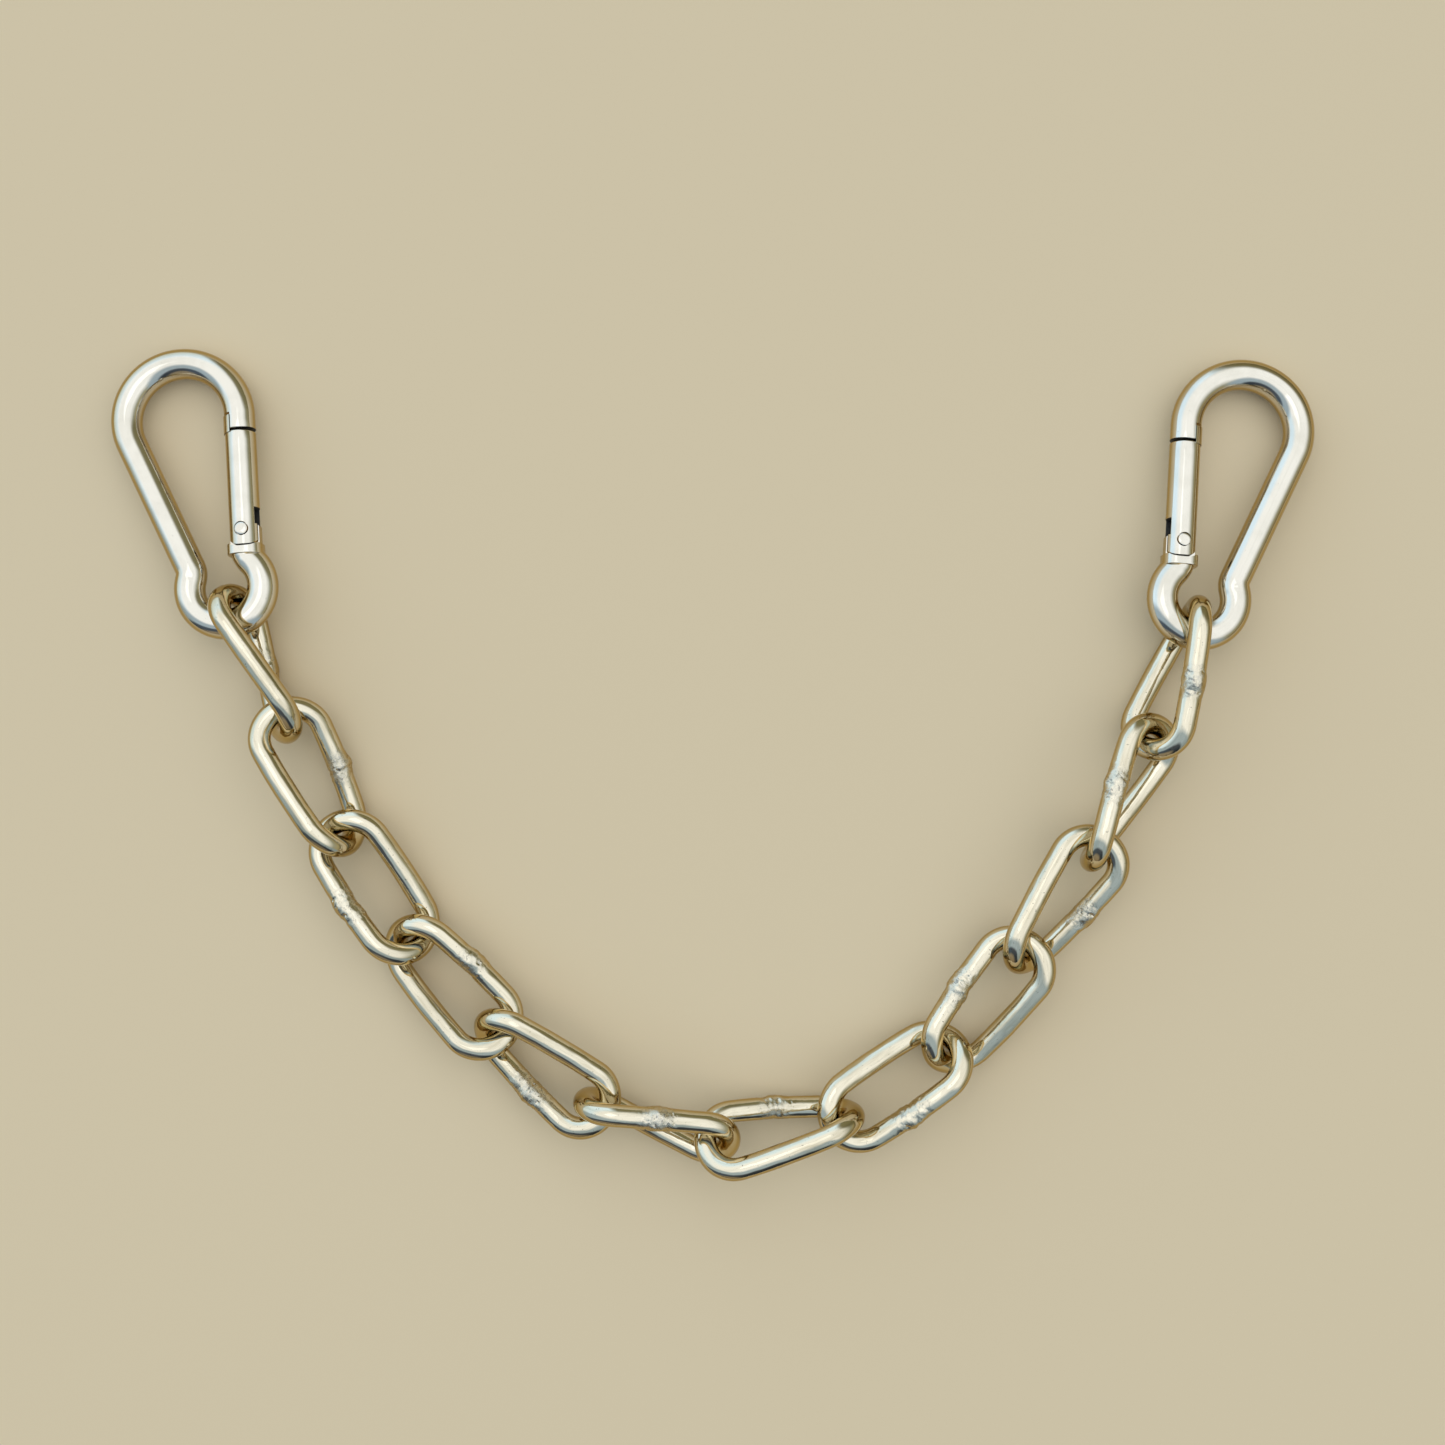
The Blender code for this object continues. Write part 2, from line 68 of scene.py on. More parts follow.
# How finely shapes are drawn: faces round a rod, and steps along a curve.
BAR_SIDES = 96
HOOK_SIDES = 64
PIN_SIDES = 48
LINK_SIDES = 48
COIL_SIDES = 12
ROD_STEPS = 6
BOW_STEPS = 64
EYE_STEPS = 56
SPINE_STEPS = 24
KINK_STEPS = 10
ROUNDING_STEPS = 4
FOOT_STEPS = 48
LINK_END_STEPS = 40
WELD_ARM_STEPS = 88
PLAIN_ARM_STEPS = 28
COIL_STEPS = 36  # for each turn
SHARP_ANGLE = radians(32)  # sharper edges stay crisp under smooth shading

# Fitting on the hooks and gates.
CUT_SPARE = 0.002  # how far a cutter reaches past what it cuts
KINK_REACH = 0.40  # how full a tight bend is
FOOT_SQUARENESS = (3.3, 2.6)  # at the gate's outer and its inner side
GROOVE_WIDTH = 0.0004
DENT_WIDTH = 0.0008
DENT_DROP = 0.1575  # below the spine's foot, in wire diameters
DENT_HEIGHT = 0.9  # above and below the wire's middle, in wire radii
FACES_OUT = 0.6  # a face that points outwards more than this isn't part of a cut
LATCH_ROOT = 0.0004  # how deep the latch is set into the bar
LATCH_ROOM = 2.2  # running gaps between the latch and the end of its notch
RIVET_DOME = ((0.0, 0.45), (0.00006, 0.78), (0.0002, 0.95), (0.0004, 1.0))  # depth, share
RIVET_FILLET = 0.00005
PLUNGER_EDGE = 0.0002
END_TURN = 1.05  # rise of the spring's closed turns, in diameters of its wire

# The marks on a link. Fineness is in waves a metre, and heights are shares of the
# weld's roughness.
WAVE_FINENESS = 140
LUMP_FINENESS = 430
WANDER_FINENESS = 300
FIN_FINENESS = 500
PIT_FINENESS = 900
WAVE_DROP = 0.9  # keeps the waves inside the wire
WELD_TAPER = 2.6  # how soon its swelling ends
WELD_SHIFT = 0.0008  # how far it may lie from its arm's middle
SEAM_WANDER = 0.0009
RIDGE_WIDTH = 0.0005
LEDGE_SLOPE = 0.00015
LEDGE_LENGTH = 0.0028
FIN_WIDTH = 0.04  # 1 less the cosine of its angle round the wire
FIN_HEIGHT = 0.8
DEEPEST = -1.5
HIGHEST = 1.2
PIT_RARITY = 0.35  # how high the pattern rises before it makes a pit
SCALE_REACH = 1.05  # of the scaly finish, in lengths of the lumps


# ---- sizes and colours that a user would change ----
def number(name, description, default, **kind):
    """A number, with its unit if it has one."""
    return FloatProperty(name=name, description=description, default=default, **kind)


def length(name, description, default):
    """A size in metres."""
    return number(name, description, default, precision=5, unit="LENGTH")


def angle(name, description, default):
    """An angle, given in degrees and held in radians."""
    return number(name, description, radians(default), unit="ROTATION")


def share(name, description, default):
    """A plain factor."""
    return number(name, description, default, precision=3)


def colour(name, description, default):
    """A colour."""
    return FloatVectorProperty(
        name=name, description=description, default=default, min=0.0, max=1.0, subtype="COLOR"
    )


class HookSizes(bpy.types.PropertyGroup):
    """The bent wire of a snap hook."""

    length: length("Length", "Overall length, bow to eye", 0.080)
    wire: length("Wire", "Diameter of the hook's wire and of its gate", 0.008)
    bow_radius: length("Bow radius", "To the wire's centre", 0.0151)
    eye_radius: length("Eye radius", "To the wire's centre", 0.0097)
    gate_lean: angle("Gate lean", "Outward lean of the gate side", 11.4)
    spine_lean: angle("Spine lean", "Outward lean of the spine", 10.7)
    kink_leg: length("Kink leg", "Length of its tight bend", 0.0021)
    kink_mark: length("Kink mark", "Depth of the bending tool's dents", 0.00021)
    nose_length: length("Nose length", "Straight wire from bow to seam", 0.0045)
    gate_arm: length("Gate arm", "From the eye up to the gate's foot", 0.0028)
    edge: length("Edge rounding", "Rounding of the turned edges", 0.0003)
    collar_flare: length("Collar flare", "How far it stands out of the wire", 0.0006)
    collar_thickness: length("Collar thickness", "Height under the gate's seat", 0.0022)
    collar_squareness: share("Collar squareness", "How square it is; 2 is round", 2.7)
    collar_groove: length("Collar groove", "Depth of the groove under it", 0.0006)
    seat_rise: length("Seat rise", "How far the collar rises beside the gate", 0.0006)
    left_lean: angle("Left lean", "Lean of the left hook to the left", 16)
    right_lean: angle("Right lean", "Lean of the right hook to the left", -16)
    eye_height: length("Eye height", "Its centre above the surface", 0.0103)


class GateSizes(bpy.types.PropertyGroup):
    """The gate, its latch, hinge, plunger and spring."""

    gap: length("Gap", "Running clearance between gate and hook", 0.0003)
    bore: length("Bore", "Bore for the spring", 0.0052)
    bore_length: length("Bore length", "Above the plunger's foot", 0.0175)
    latch_gap: length("Seam", "Gap between the nose and the gate", 0.0006)
    latch_slant: length("Seam slant", "How much wider the seam is on the outer side", 0.0004)
    latch_step: length("Latch step", "Depth of the notch in the nose", 0.0024)
    latch_height: length("Latch height", "Length of the latch above the seam", 0.0044)
    latch_proud: length("Latch proud", "How far it stands out of the nose", 0.00025)
    pivot_height: length("Pivot height", "Rivet above the gate's foot", 0.0041)
    rivet: length("Rivet", "Diameter of the rivet's shank", 0.0024)
    rivet_head: length("Rivet head", "Diameter of the rivet's head", 0.0034)
    rivet_head_depth: length("Rivet head depth", "How deep the head is sunk", 0.0009)
    rivet_crown: length("Rivet crown", "How far the head stands out", 0.00015)
    rivet_clearance: length("Rivet clearance", "All round the rivet", 0.0002)
    tongue_thickness: length("Tongue thickness", "Flattened end of the wire", 0.0026)
    tongue_rise: length("Tongue rise", "Top of the tongue above the rivet", 0.0026)
    tongue_inset: length("Tongue inset", "Inner end of the tongue's top", 0.0020)
    tongue_shoulder: length("Tongue shoulder", "Where the tongue's outer edge ends", 0.0011)
    window_rise: length("Window rise", "Its top above the rivet", 0.0059)
    window_width: length("Window width", "In the outer side", 0.0046)
    bore_clearance: length("Bore clearance", "Round the plunger and the spring", 0.0003)
    stem_clearance: length("Stem clearance", "Between the stem and the spring", 0.0005)
    plunger_head: length("Plunger head", "Its length", 0.0034)
    plunger_stem: length("Plunger stem", "Its length", 0.0060)
    plunger_travel: length("Plunger travel", "Room for the plunger", 0.0006)
    spring_wire: length("Spring wire", "Diameter of the spring's wire", 0.0006)
    spring_turns: IntProperty(name="Spring turns", description="Coils in all", default=7, min=3)


class ChainSizes(bpy.types.PropertyGroup):
    """The twisted, welded chain."""

    wire: length("Wire", "Diameter of the chain's wire", 0.006)
    pitch: length("Pitch", "Inner length of a link", 0.0335)
    room: length("Room", "Room for the next link, beside its wire", 0.0048)
    twist: angle("Twist", "Turn between the two ends of a link", -55)
    weld_length: length("Weld length", "Length of its swelling", 0.006)
    weld_swell: share("Weld swell", "Widest part, in wire diameters", 1.10)
    weld_bow: length("Weld bow", "How far it kinks outwards", 0.0004)
    waviness: length("Waviness", "Depth of the bending marks", 0.00009)
    roughness: length("Weld roughness", "Height of its lumps", 0.00022)
    pit_depth: length("Pit depth", "Of the pits in the weld", 0.0009)
    ledge: length("Weld ledge", "Step between the ends that meet", 0.00025)
    gap: length("Gap", "Between the bars of two links", 0.0004)
    eye_gap: length("Eye gap", "Between an end link and a hook's eye", 0.0006)
    left_pull: angle("Left pull", "Where the first link lies in the left eye", -80)
    right_pull: angle("Right pull", "Where the last link lies in the right eye", -92)


class Finishes(bpy.types.PropertyGroup):
    """Colours and polish of the metals."""

    plating: colour("Plating", "Bright plating of the hooks", (0.82, 0.81, 0.77))
    plating_shade: colour("Plating shade", "Duller patches of the plating", (0.72, 0.71, 0.66))
    chain: colour("Chain", "Bright plating of the chain", (0.82, 0.78, 0.66))
    chain_shade: colour("Chain shade", "Duller patches of the chain", (0.60, 0.56, 0.44))
    weld: colour("Weld", "Scaly metal round the welds", (0.56, 0.57, 0.55))
    spring: colour("Spring", "Drawn wire and turned steel", (0.42, 0.42, 0.43))
    # Painted reflection: a warm tone given to the plating where it turns away from the view.
    painted_flank_reflection: colour("Flanks", "Golden tone of plating that leans away", (0.48, 0.33, 0.10))
    cut: colour("Cuts", "Sawn faces, slots and bores", (0.15, 0.155, 0.16))
    polish: share("Hook polish", "Roughness of the hooks' plating", 0.085)
    chain_polish: share("Chain polish", "Roughness of the chain's plating", 0.065)


class StageSettings(bpy.types.PropertyGroup):
    """Floor, lamps and camera."""

    floor: colour("Floor", "Colour of the floor", (0.78, 0.67, 0.49))
    floor_size: length("Floor size", "Side of the floor", 40.0)
    floor_drop: length("Floor drop", "How far it lies under the chain", 0.0006)
    overhead: colour("Overhead", "Light from overhead", (0.95, 0.945, 0.90))
    window: colour("Window", "Cool light from the window's side", (0.74, 0.90, 1.00))
    window_edge: colour("Window edge", "Foot of the window", (0.34, 0.50, 0.56))
    room_high: colour("Room", "Dim light from the other sides", (0.31, 0.31, 0.23))
    room_low: colour("Low room", "Warm light low down in the room", (0.32, 0.27, 0.13))
    room_edge: colour("Room edge", "Dark foot of the room", (0.07, 0.06, 0.035))
    screen_top: colour("Screen top", "Grey blue top of the screen", (0.30, 0.38, 0.43))
    screen: colour("Screen", "Dark middle of the screen at one side", (0.012, 0.022, 0.040))
    screen_foot: colour("Screen foot", "Brown foot of the screen", (0.24, 0.19, 0.12))
    card: colour("Card", "Dark olive card", (0.17, 0.15, 0.07))
    screen_depth: share("Screen depth", "How much of the light the screens hide", 0.93)
    window_angle: angle("Window angle", "Where the window stands", 160)
    screen_angle: angle("Screen angle", "Where the grey screen stands", 250)
    card_angle: angle("Card angle", "Where the dark card stands", 56)
    sky_power: share("Sky power", "Strength of the light from all round", 1.15)
    lamp_power: number("Lamp power", "Power of the softbox", 0.25, unit="POWER")
    lamp_size: length("Lamp size", "Side of the softbox", 0.5)
    lamp_x: length("Lamp X", "Softbox to the right of the chain's middle", -0.18)
    lamp_y: length("Lamp Y", "Softbox above the chain's middle", 0.22)
    lamp_height: length("Lamp height", "Height of the softbox", 1.1)
    camera_x: length("Camera X", "Camera to the right of the chain's middle", 0.00258)
    camera_y: length("Camera Y", "Camera above the chain's middle", 0.00946)
    camera_height: length("Camera height", "Camera above the surface", 0.431)
    lens: number("Lens", "Focal length on a 36 mm wide sensor", 39.86, unit="CAMERA")


SETTINGS = {
    "snap_hook": HookSizes,
    "snap_gate": GateSizes,
    "snap_chain": ChainSizes,
    "snap_finish": Finishes,
    "snap_stage": StageSettings,
}


# ---- meshes ----
def plain_object(name, data):
    """A bare object in the scene."""
    made = bpy.data.objects.new(name, data)
    bpy.context.scene.collection.objects.link(made)
    return made


def finished_mesh(name, shape):
    """The mesh of a shape whose faces are all there."""
    mesh = bpy.data.meshes.new(name)
    shape.to_mesh(mesh)
    shape.free()
    return mesh


def shaped(name, blank, *steps):
    """The mesh of a blank after joins and cuts, each a Boolean operation and its helper."""
    helpers = [helper for operation, helper in steps]
    for operation, helper in steps:
        step = blank.modifiers.new(helper.name, "BOOLEAN")
        step.operation = operation
        step.object = helper
    bpy.context.view_layer.update()
    depsgraph = bpy.context.evaluated_depsgraph_get()
    mesh = bpy.data.meshes.new_from_object(blank.evaluated_get(depsgraph))
    mesh.name = name
    for item in (blank, *helpers):
        used = item.data
        bpy.data.objects.remove(item)
        bpy.data.meshes.remove(used)
    return mesh


def rounded_ends(points, radii, edge):
    """Both ends of an open wire, drawn in a little so that their edges are round."""
    first = (points[0] - points[1]).normalized()
    last = (points[-1] - points[-2]).normalized()
    turns = [pi / 2 * index / ROUNDING_STEPS for index in range(ROUNDING_STEPS + 1)]
    drawn = [(edge * (sin(turn) - 1), edge * (1 - cos(turn))) for turn in turns]
    head = [(points[0] + first * step, radii[0] - inward) for step, inward in reversed(drawn)]
    tail = [(points[-1] + last * step, radii[-1] - inward) for step, inward in drawn]
    return zip(*head, *zip(points[1:-1], radii[1:-1]), *tail)


def ring_frames(points, closed):
    """Directions across a line of points that turn as little as they can."""
    before = points[-1:] if closed else points[:1]
    after = points[:1] if closed else points[-1:]
    pairs = zip((*before, *points[:-1]), (*points[1:], *after))
    tangents = [(later - earlier).normalized() for earlier, later in pairs]
    across = tangents[0].orthogonal().normalized()
    frames = [(tangents[0], across)]
    for earlier, tangent in zip(tangents, tangents[1:]):
        across = earlier.rotation_difference(tangent) @ across
        across = (across - across.dot(tangent) * tangent).normalized()
        frames.append((tangent, across))
    if not closed:
        return frames
    ended = tangents[-1].rotation_difference(tangents[0]) @ across
    first = frames[0][1]
    spare = atan2(ended.dot(tangents[0].cross(first)), ended.dot(first)) / len(points)
    return [
        (tangent, Matrix.Rotation(-spare * index, 3, tangent) @ across)
        for index, (tangent, across) in enumerate(frames)
    ]


def swept_wire(name, points, radii, sides, closed=False, relief=None):
    """A round wire along points. relief(point, outward) raises its skin."""
    steps = [(after - before).length for before, after in zip(points, points[1:])]
    places = list(accumulate(steps, initial=0.0))
    if closed:
        places = [abs(place - places[-1] / 2) for place in places]
    shape = bmesh.new()
    grain = shape.verts.layers.float_vector.new("grain")
    rings = []
    frames = ring_frames(points, closed)
    for point, radius, place, (tangent, across) in zip(points, radii, places, frames):
        other = tangent.cross(across)
        ring = []
        for side in range(sides):
            turn = 2 * pi * side / sides
            outward = across * cos(turn) + other * sin(turn)
            raised = relief(point, outward) if relief else 0.0
            vertex = shape.verts.new(point + outward * (radius + raised))
            vertex[grain] = (radius * cos(turn), radius * sin(turn), place)
            ring.append(vertex)
        rings.append(ring)
    following = rings[1:] + rings[:1] if closed else rings[1:]
    for ring, later in zip(rings, following):
        for side in range(sides):
            nearby = (side + 1) % sides
            shape.faces.new((ring[side], ring[nearby], later[nearby], later[side]))
    if not closed:
        shape.faces.new(tuple(reversed(rings[0])))
        shape.faces.new(tuple(rings[-1]))
    return finished_mesh(name, shape)


def turned_rod(name, radius, start, end, edge=0.0, sides=BAR_SIDES, steps=ROD_STEPS):
    """A turned rod from one point to another, with round edges."""
    start, end = Vector(start), Vector(end)
    points = [start.lerp(end, index / steps) for index in range(steps + 1)]
    radii = [radius] * len(points)
    if edge:
        points, radii = rounded_ends(points, radii, edge)
    return plain_object(name, swept_wire(name, points, radii, sides))


def turned_profile(name, profile, axis):
    """A turned piece from a list of places along an axis and the radii there."""
    points = [place * Vector(axis) for place, wide in profile]
    return swept_wire(name, points, [wide for place, wide in profile], PIN_SIDES)


def rivet_hole(name, hook, gate):
    """A cutter for the rivet's hole, about the pivot."""
    radius = gate.rivet / 2 + gate.rivet_clearance
    return turned_rod(name, radius, (0, 0, -hook.wire), (0, 0, hook.wire), sides=PIN_SIDES)


def plate(name, outline, thickness):
    """A flat plate in the XY plane, centred on it."""
    shape = bmesh.new()
    lower = [shape.verts.new((x, y, -thickness / 2)) for x, y in outline]
    upper = [shape.verts.new((x, y, thickness / 2)) for x, y in outline]
    shape.faces.new(tuple(reversed(lower)))
    shape.faces.new(tuple(upper))
    for index in range(len(outline)):
        nearby = (index + 1) % len(outline)
        shape.faces.new((lower[index], lower[nearby], upper[nearby], upper[index]))
    bmesh.ops.recalc_face_normals(shape, faces=shape.faces)
    return plain_object(name, finished_mesh(name, shape))


def block(name, left, low, right, high, thickness):
    """A square-cornered plate."""
    return plate(name, ((left, low), (right, low), (right, high), (left, high)), thickness)


def arc(centre, radius, start, end, steps):
    """Points round an arc in the XY plane, both ends included."""
    turns = [start + (end - start) * index / steps for index in range(steps + 1)]
    return [centre + radius * Vector((cos(turn), sin(turn), 0.0)) for turn in turns]


def bend(start, leaving, end, arriving):
    """Points inside a smooth tight bend between two directions."""
    reach = KINK_REACH * (end - start).length
    first = start + leaving * reach
    second = end - arriving * reach
    points = []
    for index in range(1, KINK_STEPS):
        way = index / KINK_STEPS
        back = 1 - way
        inner = 3 * back * back * way * first + 3 * back * way * way * second
        points.append(back**3 * start + inner + way**3 * end)
    return points


# ---- snap hook: eye at the origin, bow along +Y, gate on +X ----
def leaning(lean):
    """The directions up and across a side of the hook that leans to the right."""
    return Vector((sin(lean), cos(lean), 0.0)), Vector((cos(lean), -sin(lean), 0.0))


class HookPlan:
    """The points and directions that a snap hook and its gate are drawn from."""

    def __init__(self, hook, gate):
        self.hook = hook
        self.gate = gate
        bow_height = hook.length - hook.bow_radius - hook.eye_radius - hook.wire
        self.bow_centre = Vector((0.0, bow_height, 0.0))
        self.up_gate, out_of_gate = leaning(hook.gate_lean)
        self.up_spine, into_spine = leaning(-hook.spine_lean)
        gate_tangent = self.bow_centre + hook.bow_radius * out_of_gate
        spine_tangent = self.bow_centre - hook.bow_radius * into_spine
        self.nose_end = gate_tangent - hook.nose_length * self.up_gate
        self.gate_root = self.eye_crossing(gate_tangent, self.up_gate)
        self.spine_foot = self.eye_crossing(spine_tangent, self.up_spine)
        side = (self.nose_end - self.gate_root).dot(self.up_gate)
        self.gate_foot = self.gate_root + hook.gate_arm * self.up_gate
        pivot = self.gate_foot + gate.pivot_height * self.up_gate
        axes = Matrix((out_of_gate, self.up_gate, (0.0, 0.0, 1.0)))
        self.gate_frame = axes.transposed().to_4x4()
        self.gate_frame.translation = pivot
        self.plunger_foot = gate.tongue_rise + gate.gap
        self.plunger_top = self.plunger_foot + gate.plunger_head
        self.spring_foot = self.plunger_top + gate.plunger_travel + gate.gap
        self.bore_end = self.plunger_foot + gate.bore_length
        self.gate_top = side - hook.gate_arm - gate.latch_gap - gate.pivot_height

    def eye_crossing(self, tangent, upward):
        """Where a side of the hook, run down from the bow, first meets the eye."""
        nearest = tangent.dot(upward)
        offset = sqrt(max(tangent.length_squared - nearest**2, 0.0))
        return tangent - (nearest - sqrt(self.hook.eye_radius**2 - offset**2)) * upward

    def wire_path(self):
        """The wire's centre line, from the nose round the bow, spine and eye."""
        hook = self.hook
        leg = hook.kink_leg
        eye_start = acos(self.spine_foot.x / hook.eye_radius) + leg / hook.eye_radius
        eye_end = 2 * pi + asin(self.gate_root.y / hook.eye_radius) - leg / hook.eye_radius
        bow_end = pi + hook.spine_lean
        bow = arc(self.bow_centre, hook.bow_radius, -hook.gate_lean, bow_end, BOW_STEPS)
        eye = arc(Vector((0, 0, 0)), hook.eye_radius, eye_start, eye_end, EYE_STEPS)
        into_eye = Vector((-sin(eye_start), cos(eye_start), 0.0))
        out_of_eye = Vector((-sin(eye_end), cos(eye_end), 0.0))
        spine_end = self.spine_foot + leg * self.up_spine
        gate_start = self.gate_root + leg * self.up_gate
        wire_end = self.gate_foot + (hook.seat_rise / 2 - self.gate.gap) * self.up_gate
        points = [self.nose_end, self.nose_end.lerp(bow[0], 0.5), *bow]
        for index in range(1, SPINE_STEPS + 1):
            points.append(bow[-1].lerp(spine_end, index / SPINE_STEPS))
        points += bend(spine_end, -self.up_spine, eye[0], into_eye)
        points += eye
        points += bend(eye[-1], out_of_eye, gate_start, self.up_gate)
        return points + [gate_start, wire_end]

    def mark_cuts(self, mesh, into_gate, low, high):
        """Give the cut and bored faces inside the gate's bar the second finish."""
        turn = into_gate.to_3x3()
        skin = self.hook.wire / 2 - self.hook.edge
        for face in mesh.polygons:
            place = into_gate @ face.center
            outward = turn @ face.normal
            away = hypot(place.x, place.z)
            lean = (outward.x * place.x + outward.z * place.z) / away if away else 0.0
            if away < skin and low < place.y < high and lean <= FACES_OUT:
                face.material_index = 1
        return mesh


def collar_block(radius, foot, top, hook):
    """The collar before its seat is cut: a short rod with slightly squared sides."""

    def squared(point, outward):
        """How far the skin stands out of a round section."""
        power = hook.collar_squareness
        fullness = abs(outward.x) ** power + abs(outward.z) ** power
        return radius * (fullness ** (-1 / power) - 1)

    heights = [foot + (top - foot) * index / ROD_STEPS for index in range(ROD_STEPS + 1)]
    points = [Vector((0.0, height, 0.0)) for height in heights]
    points, radii = rounded_ends(points, [radius] * len(points), hook.edge / 2)
    return plain_object("collar", swept_wire("collar", points, radii, BAR_SIDES, relief=squared))


def foot_line(radius):
    """The gate's foot line, from its outer side to its inner side."""
    line = []
    for index in range(FOOT_STEPS + 1):
        turn = pi * index / FOOT_STEPS
        outer = cos(turn) > 0
        power = 2 / FOOT_SQUARENESS[0 if outer else 1]
        sideways = abs(cos(turn)) ** power * radius
        down = abs(sin(turn)) ** power * radius
        line.append((sideways if outer else -sideways, -down))
    return line


def hook_body_mesh(plan):
    """Bent wire with its collar, gate seat, hinge tongue, rivet hole and notched nose."""
    hook, gate = plan.hook, plan.gate
    radius = hook.wire / 2
    deep = 2 * hook.wire
    dent = plan.spine_foot - Vector((0.0, DENT_DROP * hook.wire, 0.0))
    seat_foot = -gate.pivot_height - gate.gap
    collar_foot = seat_foot - hook.collar_thickness
    groove = plan.gate_frame @ Vector((0.0, collar_foot - hook.collar_groove, 0.0))

    def worked(point, outward):
        """The groove under the collar and a bending tool's dents by the kink."""
        spot = point + outward * radius
        depth = -hook.collar_groove * exp(-((point - groove).length / GROOVE_WIDTH) ** 2)
        for side in (-1, 1):
            away = spot - Vector((dent.x, dent.y, side * DENT_HEIGHT * radius))
            depth -= hook.kink_mark * exp(-(away.length / DENT_WIDTH) ** 2)
        return depth

    points = plan.wire_path()
    points, radii = rounded_ends(points, [radius] * len(points), hook.edge)
    wire = swept_wire("hook_wire", points, radii, HOOK_SIDES, relief=worked)
    collar_radius = radius + hook.collar_flare
    collar = collar_block(collar_radius, collar_foot, seat_foot + hook.seat_rise, hook)
    seat = plate("gate_seat", foot_line(gate.gap - seat_foot), deep)
    tongue_outline = (
        (gate.gap - radius, collar_foot),
        (radius, collar_foot),
        (radius, gate.tongue_shoulder - gate.gap),
        (radius - gate.gap / 2, gate.tongue_shoulder),
        (gate.gap, gate.tongue_rise),
        (-gate.tongue_inset, gate.tongue_rise),
        (gate.gap - radius, gate.tongue_rise / 2),
    )
    tongue = plate("tongue", tongue_outline, gate.tongue_thickness)
    seam = plan.gate_top + gate.latch_gap
    notch_top = seam + gate.latch_height
    step_face = gate.latch_step - radius
    step = block("nose_step", -hook.wire, seam - CUT_SPARE, step_face, notch_top, deep)
    slant_outline = (
        (step_face - CUT_SPARE / 2, seam - CUT_SPARE / 2),
        (hook.wire, seam - CUT_SPARE / 2),
        (hook.wire, seam + gate.latch_slant * 1.5),
        (-radius / 4, seam),
        (step_face - CUT_SPARE / 2, seam),
    )
    steps = (
        ("UNION", collar),
        ("DIFFERENCE", seat),
        ("UNION", tongue),
        ("DIFFERENCE", rivet_hole("tongue_hole", hook, gate)),
        ("DIFFERENCE", step),
        ("DIFFERENCE", plate("nose_slant", slant_outline, deep)),
    )
    for operation, helper in steps:
        helper.data.transform(plan.gate_frame)
    mesh = shaped("hook_body", plain_object("hook_wire", wire), *steps)
    return plan.mark_cuts(mesh, plan.gate_frame.inverted(), seat_foot - hook.edge, notch_top)


def gate_mesh(plan):
    """The gate about its pivot: a bored bar with a slotted foot and a latch."""
    hook, gate = plan.hook, plan.gate
    radius = hook.wire / 2
    wide, deep = hook.wire, 2 * hook.wire
    top = plan.gate_top
    below = -gate.pivot_height - CUT_SPARE
    bar_foot = (0, below + CUT_SPARE / 2, 0)
    bar = turned_rod("gate_bar", radius, bar_foot, (0, top, 0), hook.edge, steps=2 * ROD_STEPS)
    latch_top = top + gate.latch_height + gate.latch_gap - gate.gap * LATCH_ROOM
    latch_ends = (0, top - LATCH_ROOT, 0), (0, latch_top, 0)
    latch = turned_rod("latch", radius + gate.latch_proud, *latch_ends, hook.edge / 3)
    face = gate.latch_step - radius - gate.gap / 3
    low = top - 1.5 * LATCH_ROOT
    kept = block("latch_block", -wide, low, face, latch_top + CUT_SPARE, deep)
    trimmed = plain_object("latch_trimmed", shaped("latch_trimmed", latch, ("INTERSECT", kept)))

    foot_outline = [(-wide, 0.0), (-wide, below), (wide, below), (wide, 0.0)]
    foot_outline += foot_line(gate.pivot_height)
    bore_ends = (0, below, 0), (0, plan.bore_end, 0)
    bore = turned_rod("bore", gate.bore / 2, *bore_ends, sides=HOOK_SIDES)
    sweep = hypot(gate.tongue_inset, gate.tongue_rise) + gate.gap
    slot_outline = (
        (-wide, below),
        (wide, below),
        (wide, gate.window_rise),
        (0, gate.window_rise),
        (0, sweep),
        (-wide, sweep),
    )
    slot = plate("slot", slot_outline, gate.tongue_thickness + 2 * gate.gap)
    shoulder = gate.tongue_shoulder + gate.gap
    window = block("window", radius / 4, shoulder, wide, gate.window_rise, gate.window_width)
    sink_radius = gate.rivet_head / 2 + gate.rivet_clearance
    steps = [
        ("UNION", trimmed),
        ("DIFFERENCE", plate("foot_round", foot_outline, deep)),
        ("DIFFERENCE", bore),
        ("DIFFERENCE", slot),
        ("DIFFERENCE", window),
        ("DIFFERENCE", rivet_hole("gate_hole", hook, gate)),
    ]
    for side in (-1, 1):
        seat = (0, 0, side * (radius - gate.rivet_head_depth - gate.rivet_clearance))
        beyond = (0, 0, 2 * side * radius)
        sink = turned_rod(f"head_sink_{side}", sink_radius, seat, beyond, sides=PIN_SIDES)
        steps.append(("DIFFERENCE", sink))
    mesh = shaped("gate", bar, *steps)
    return plan.mark_cuts(mesh, Matrix.Identity(4), below - hook.edge, top + gate.gap)


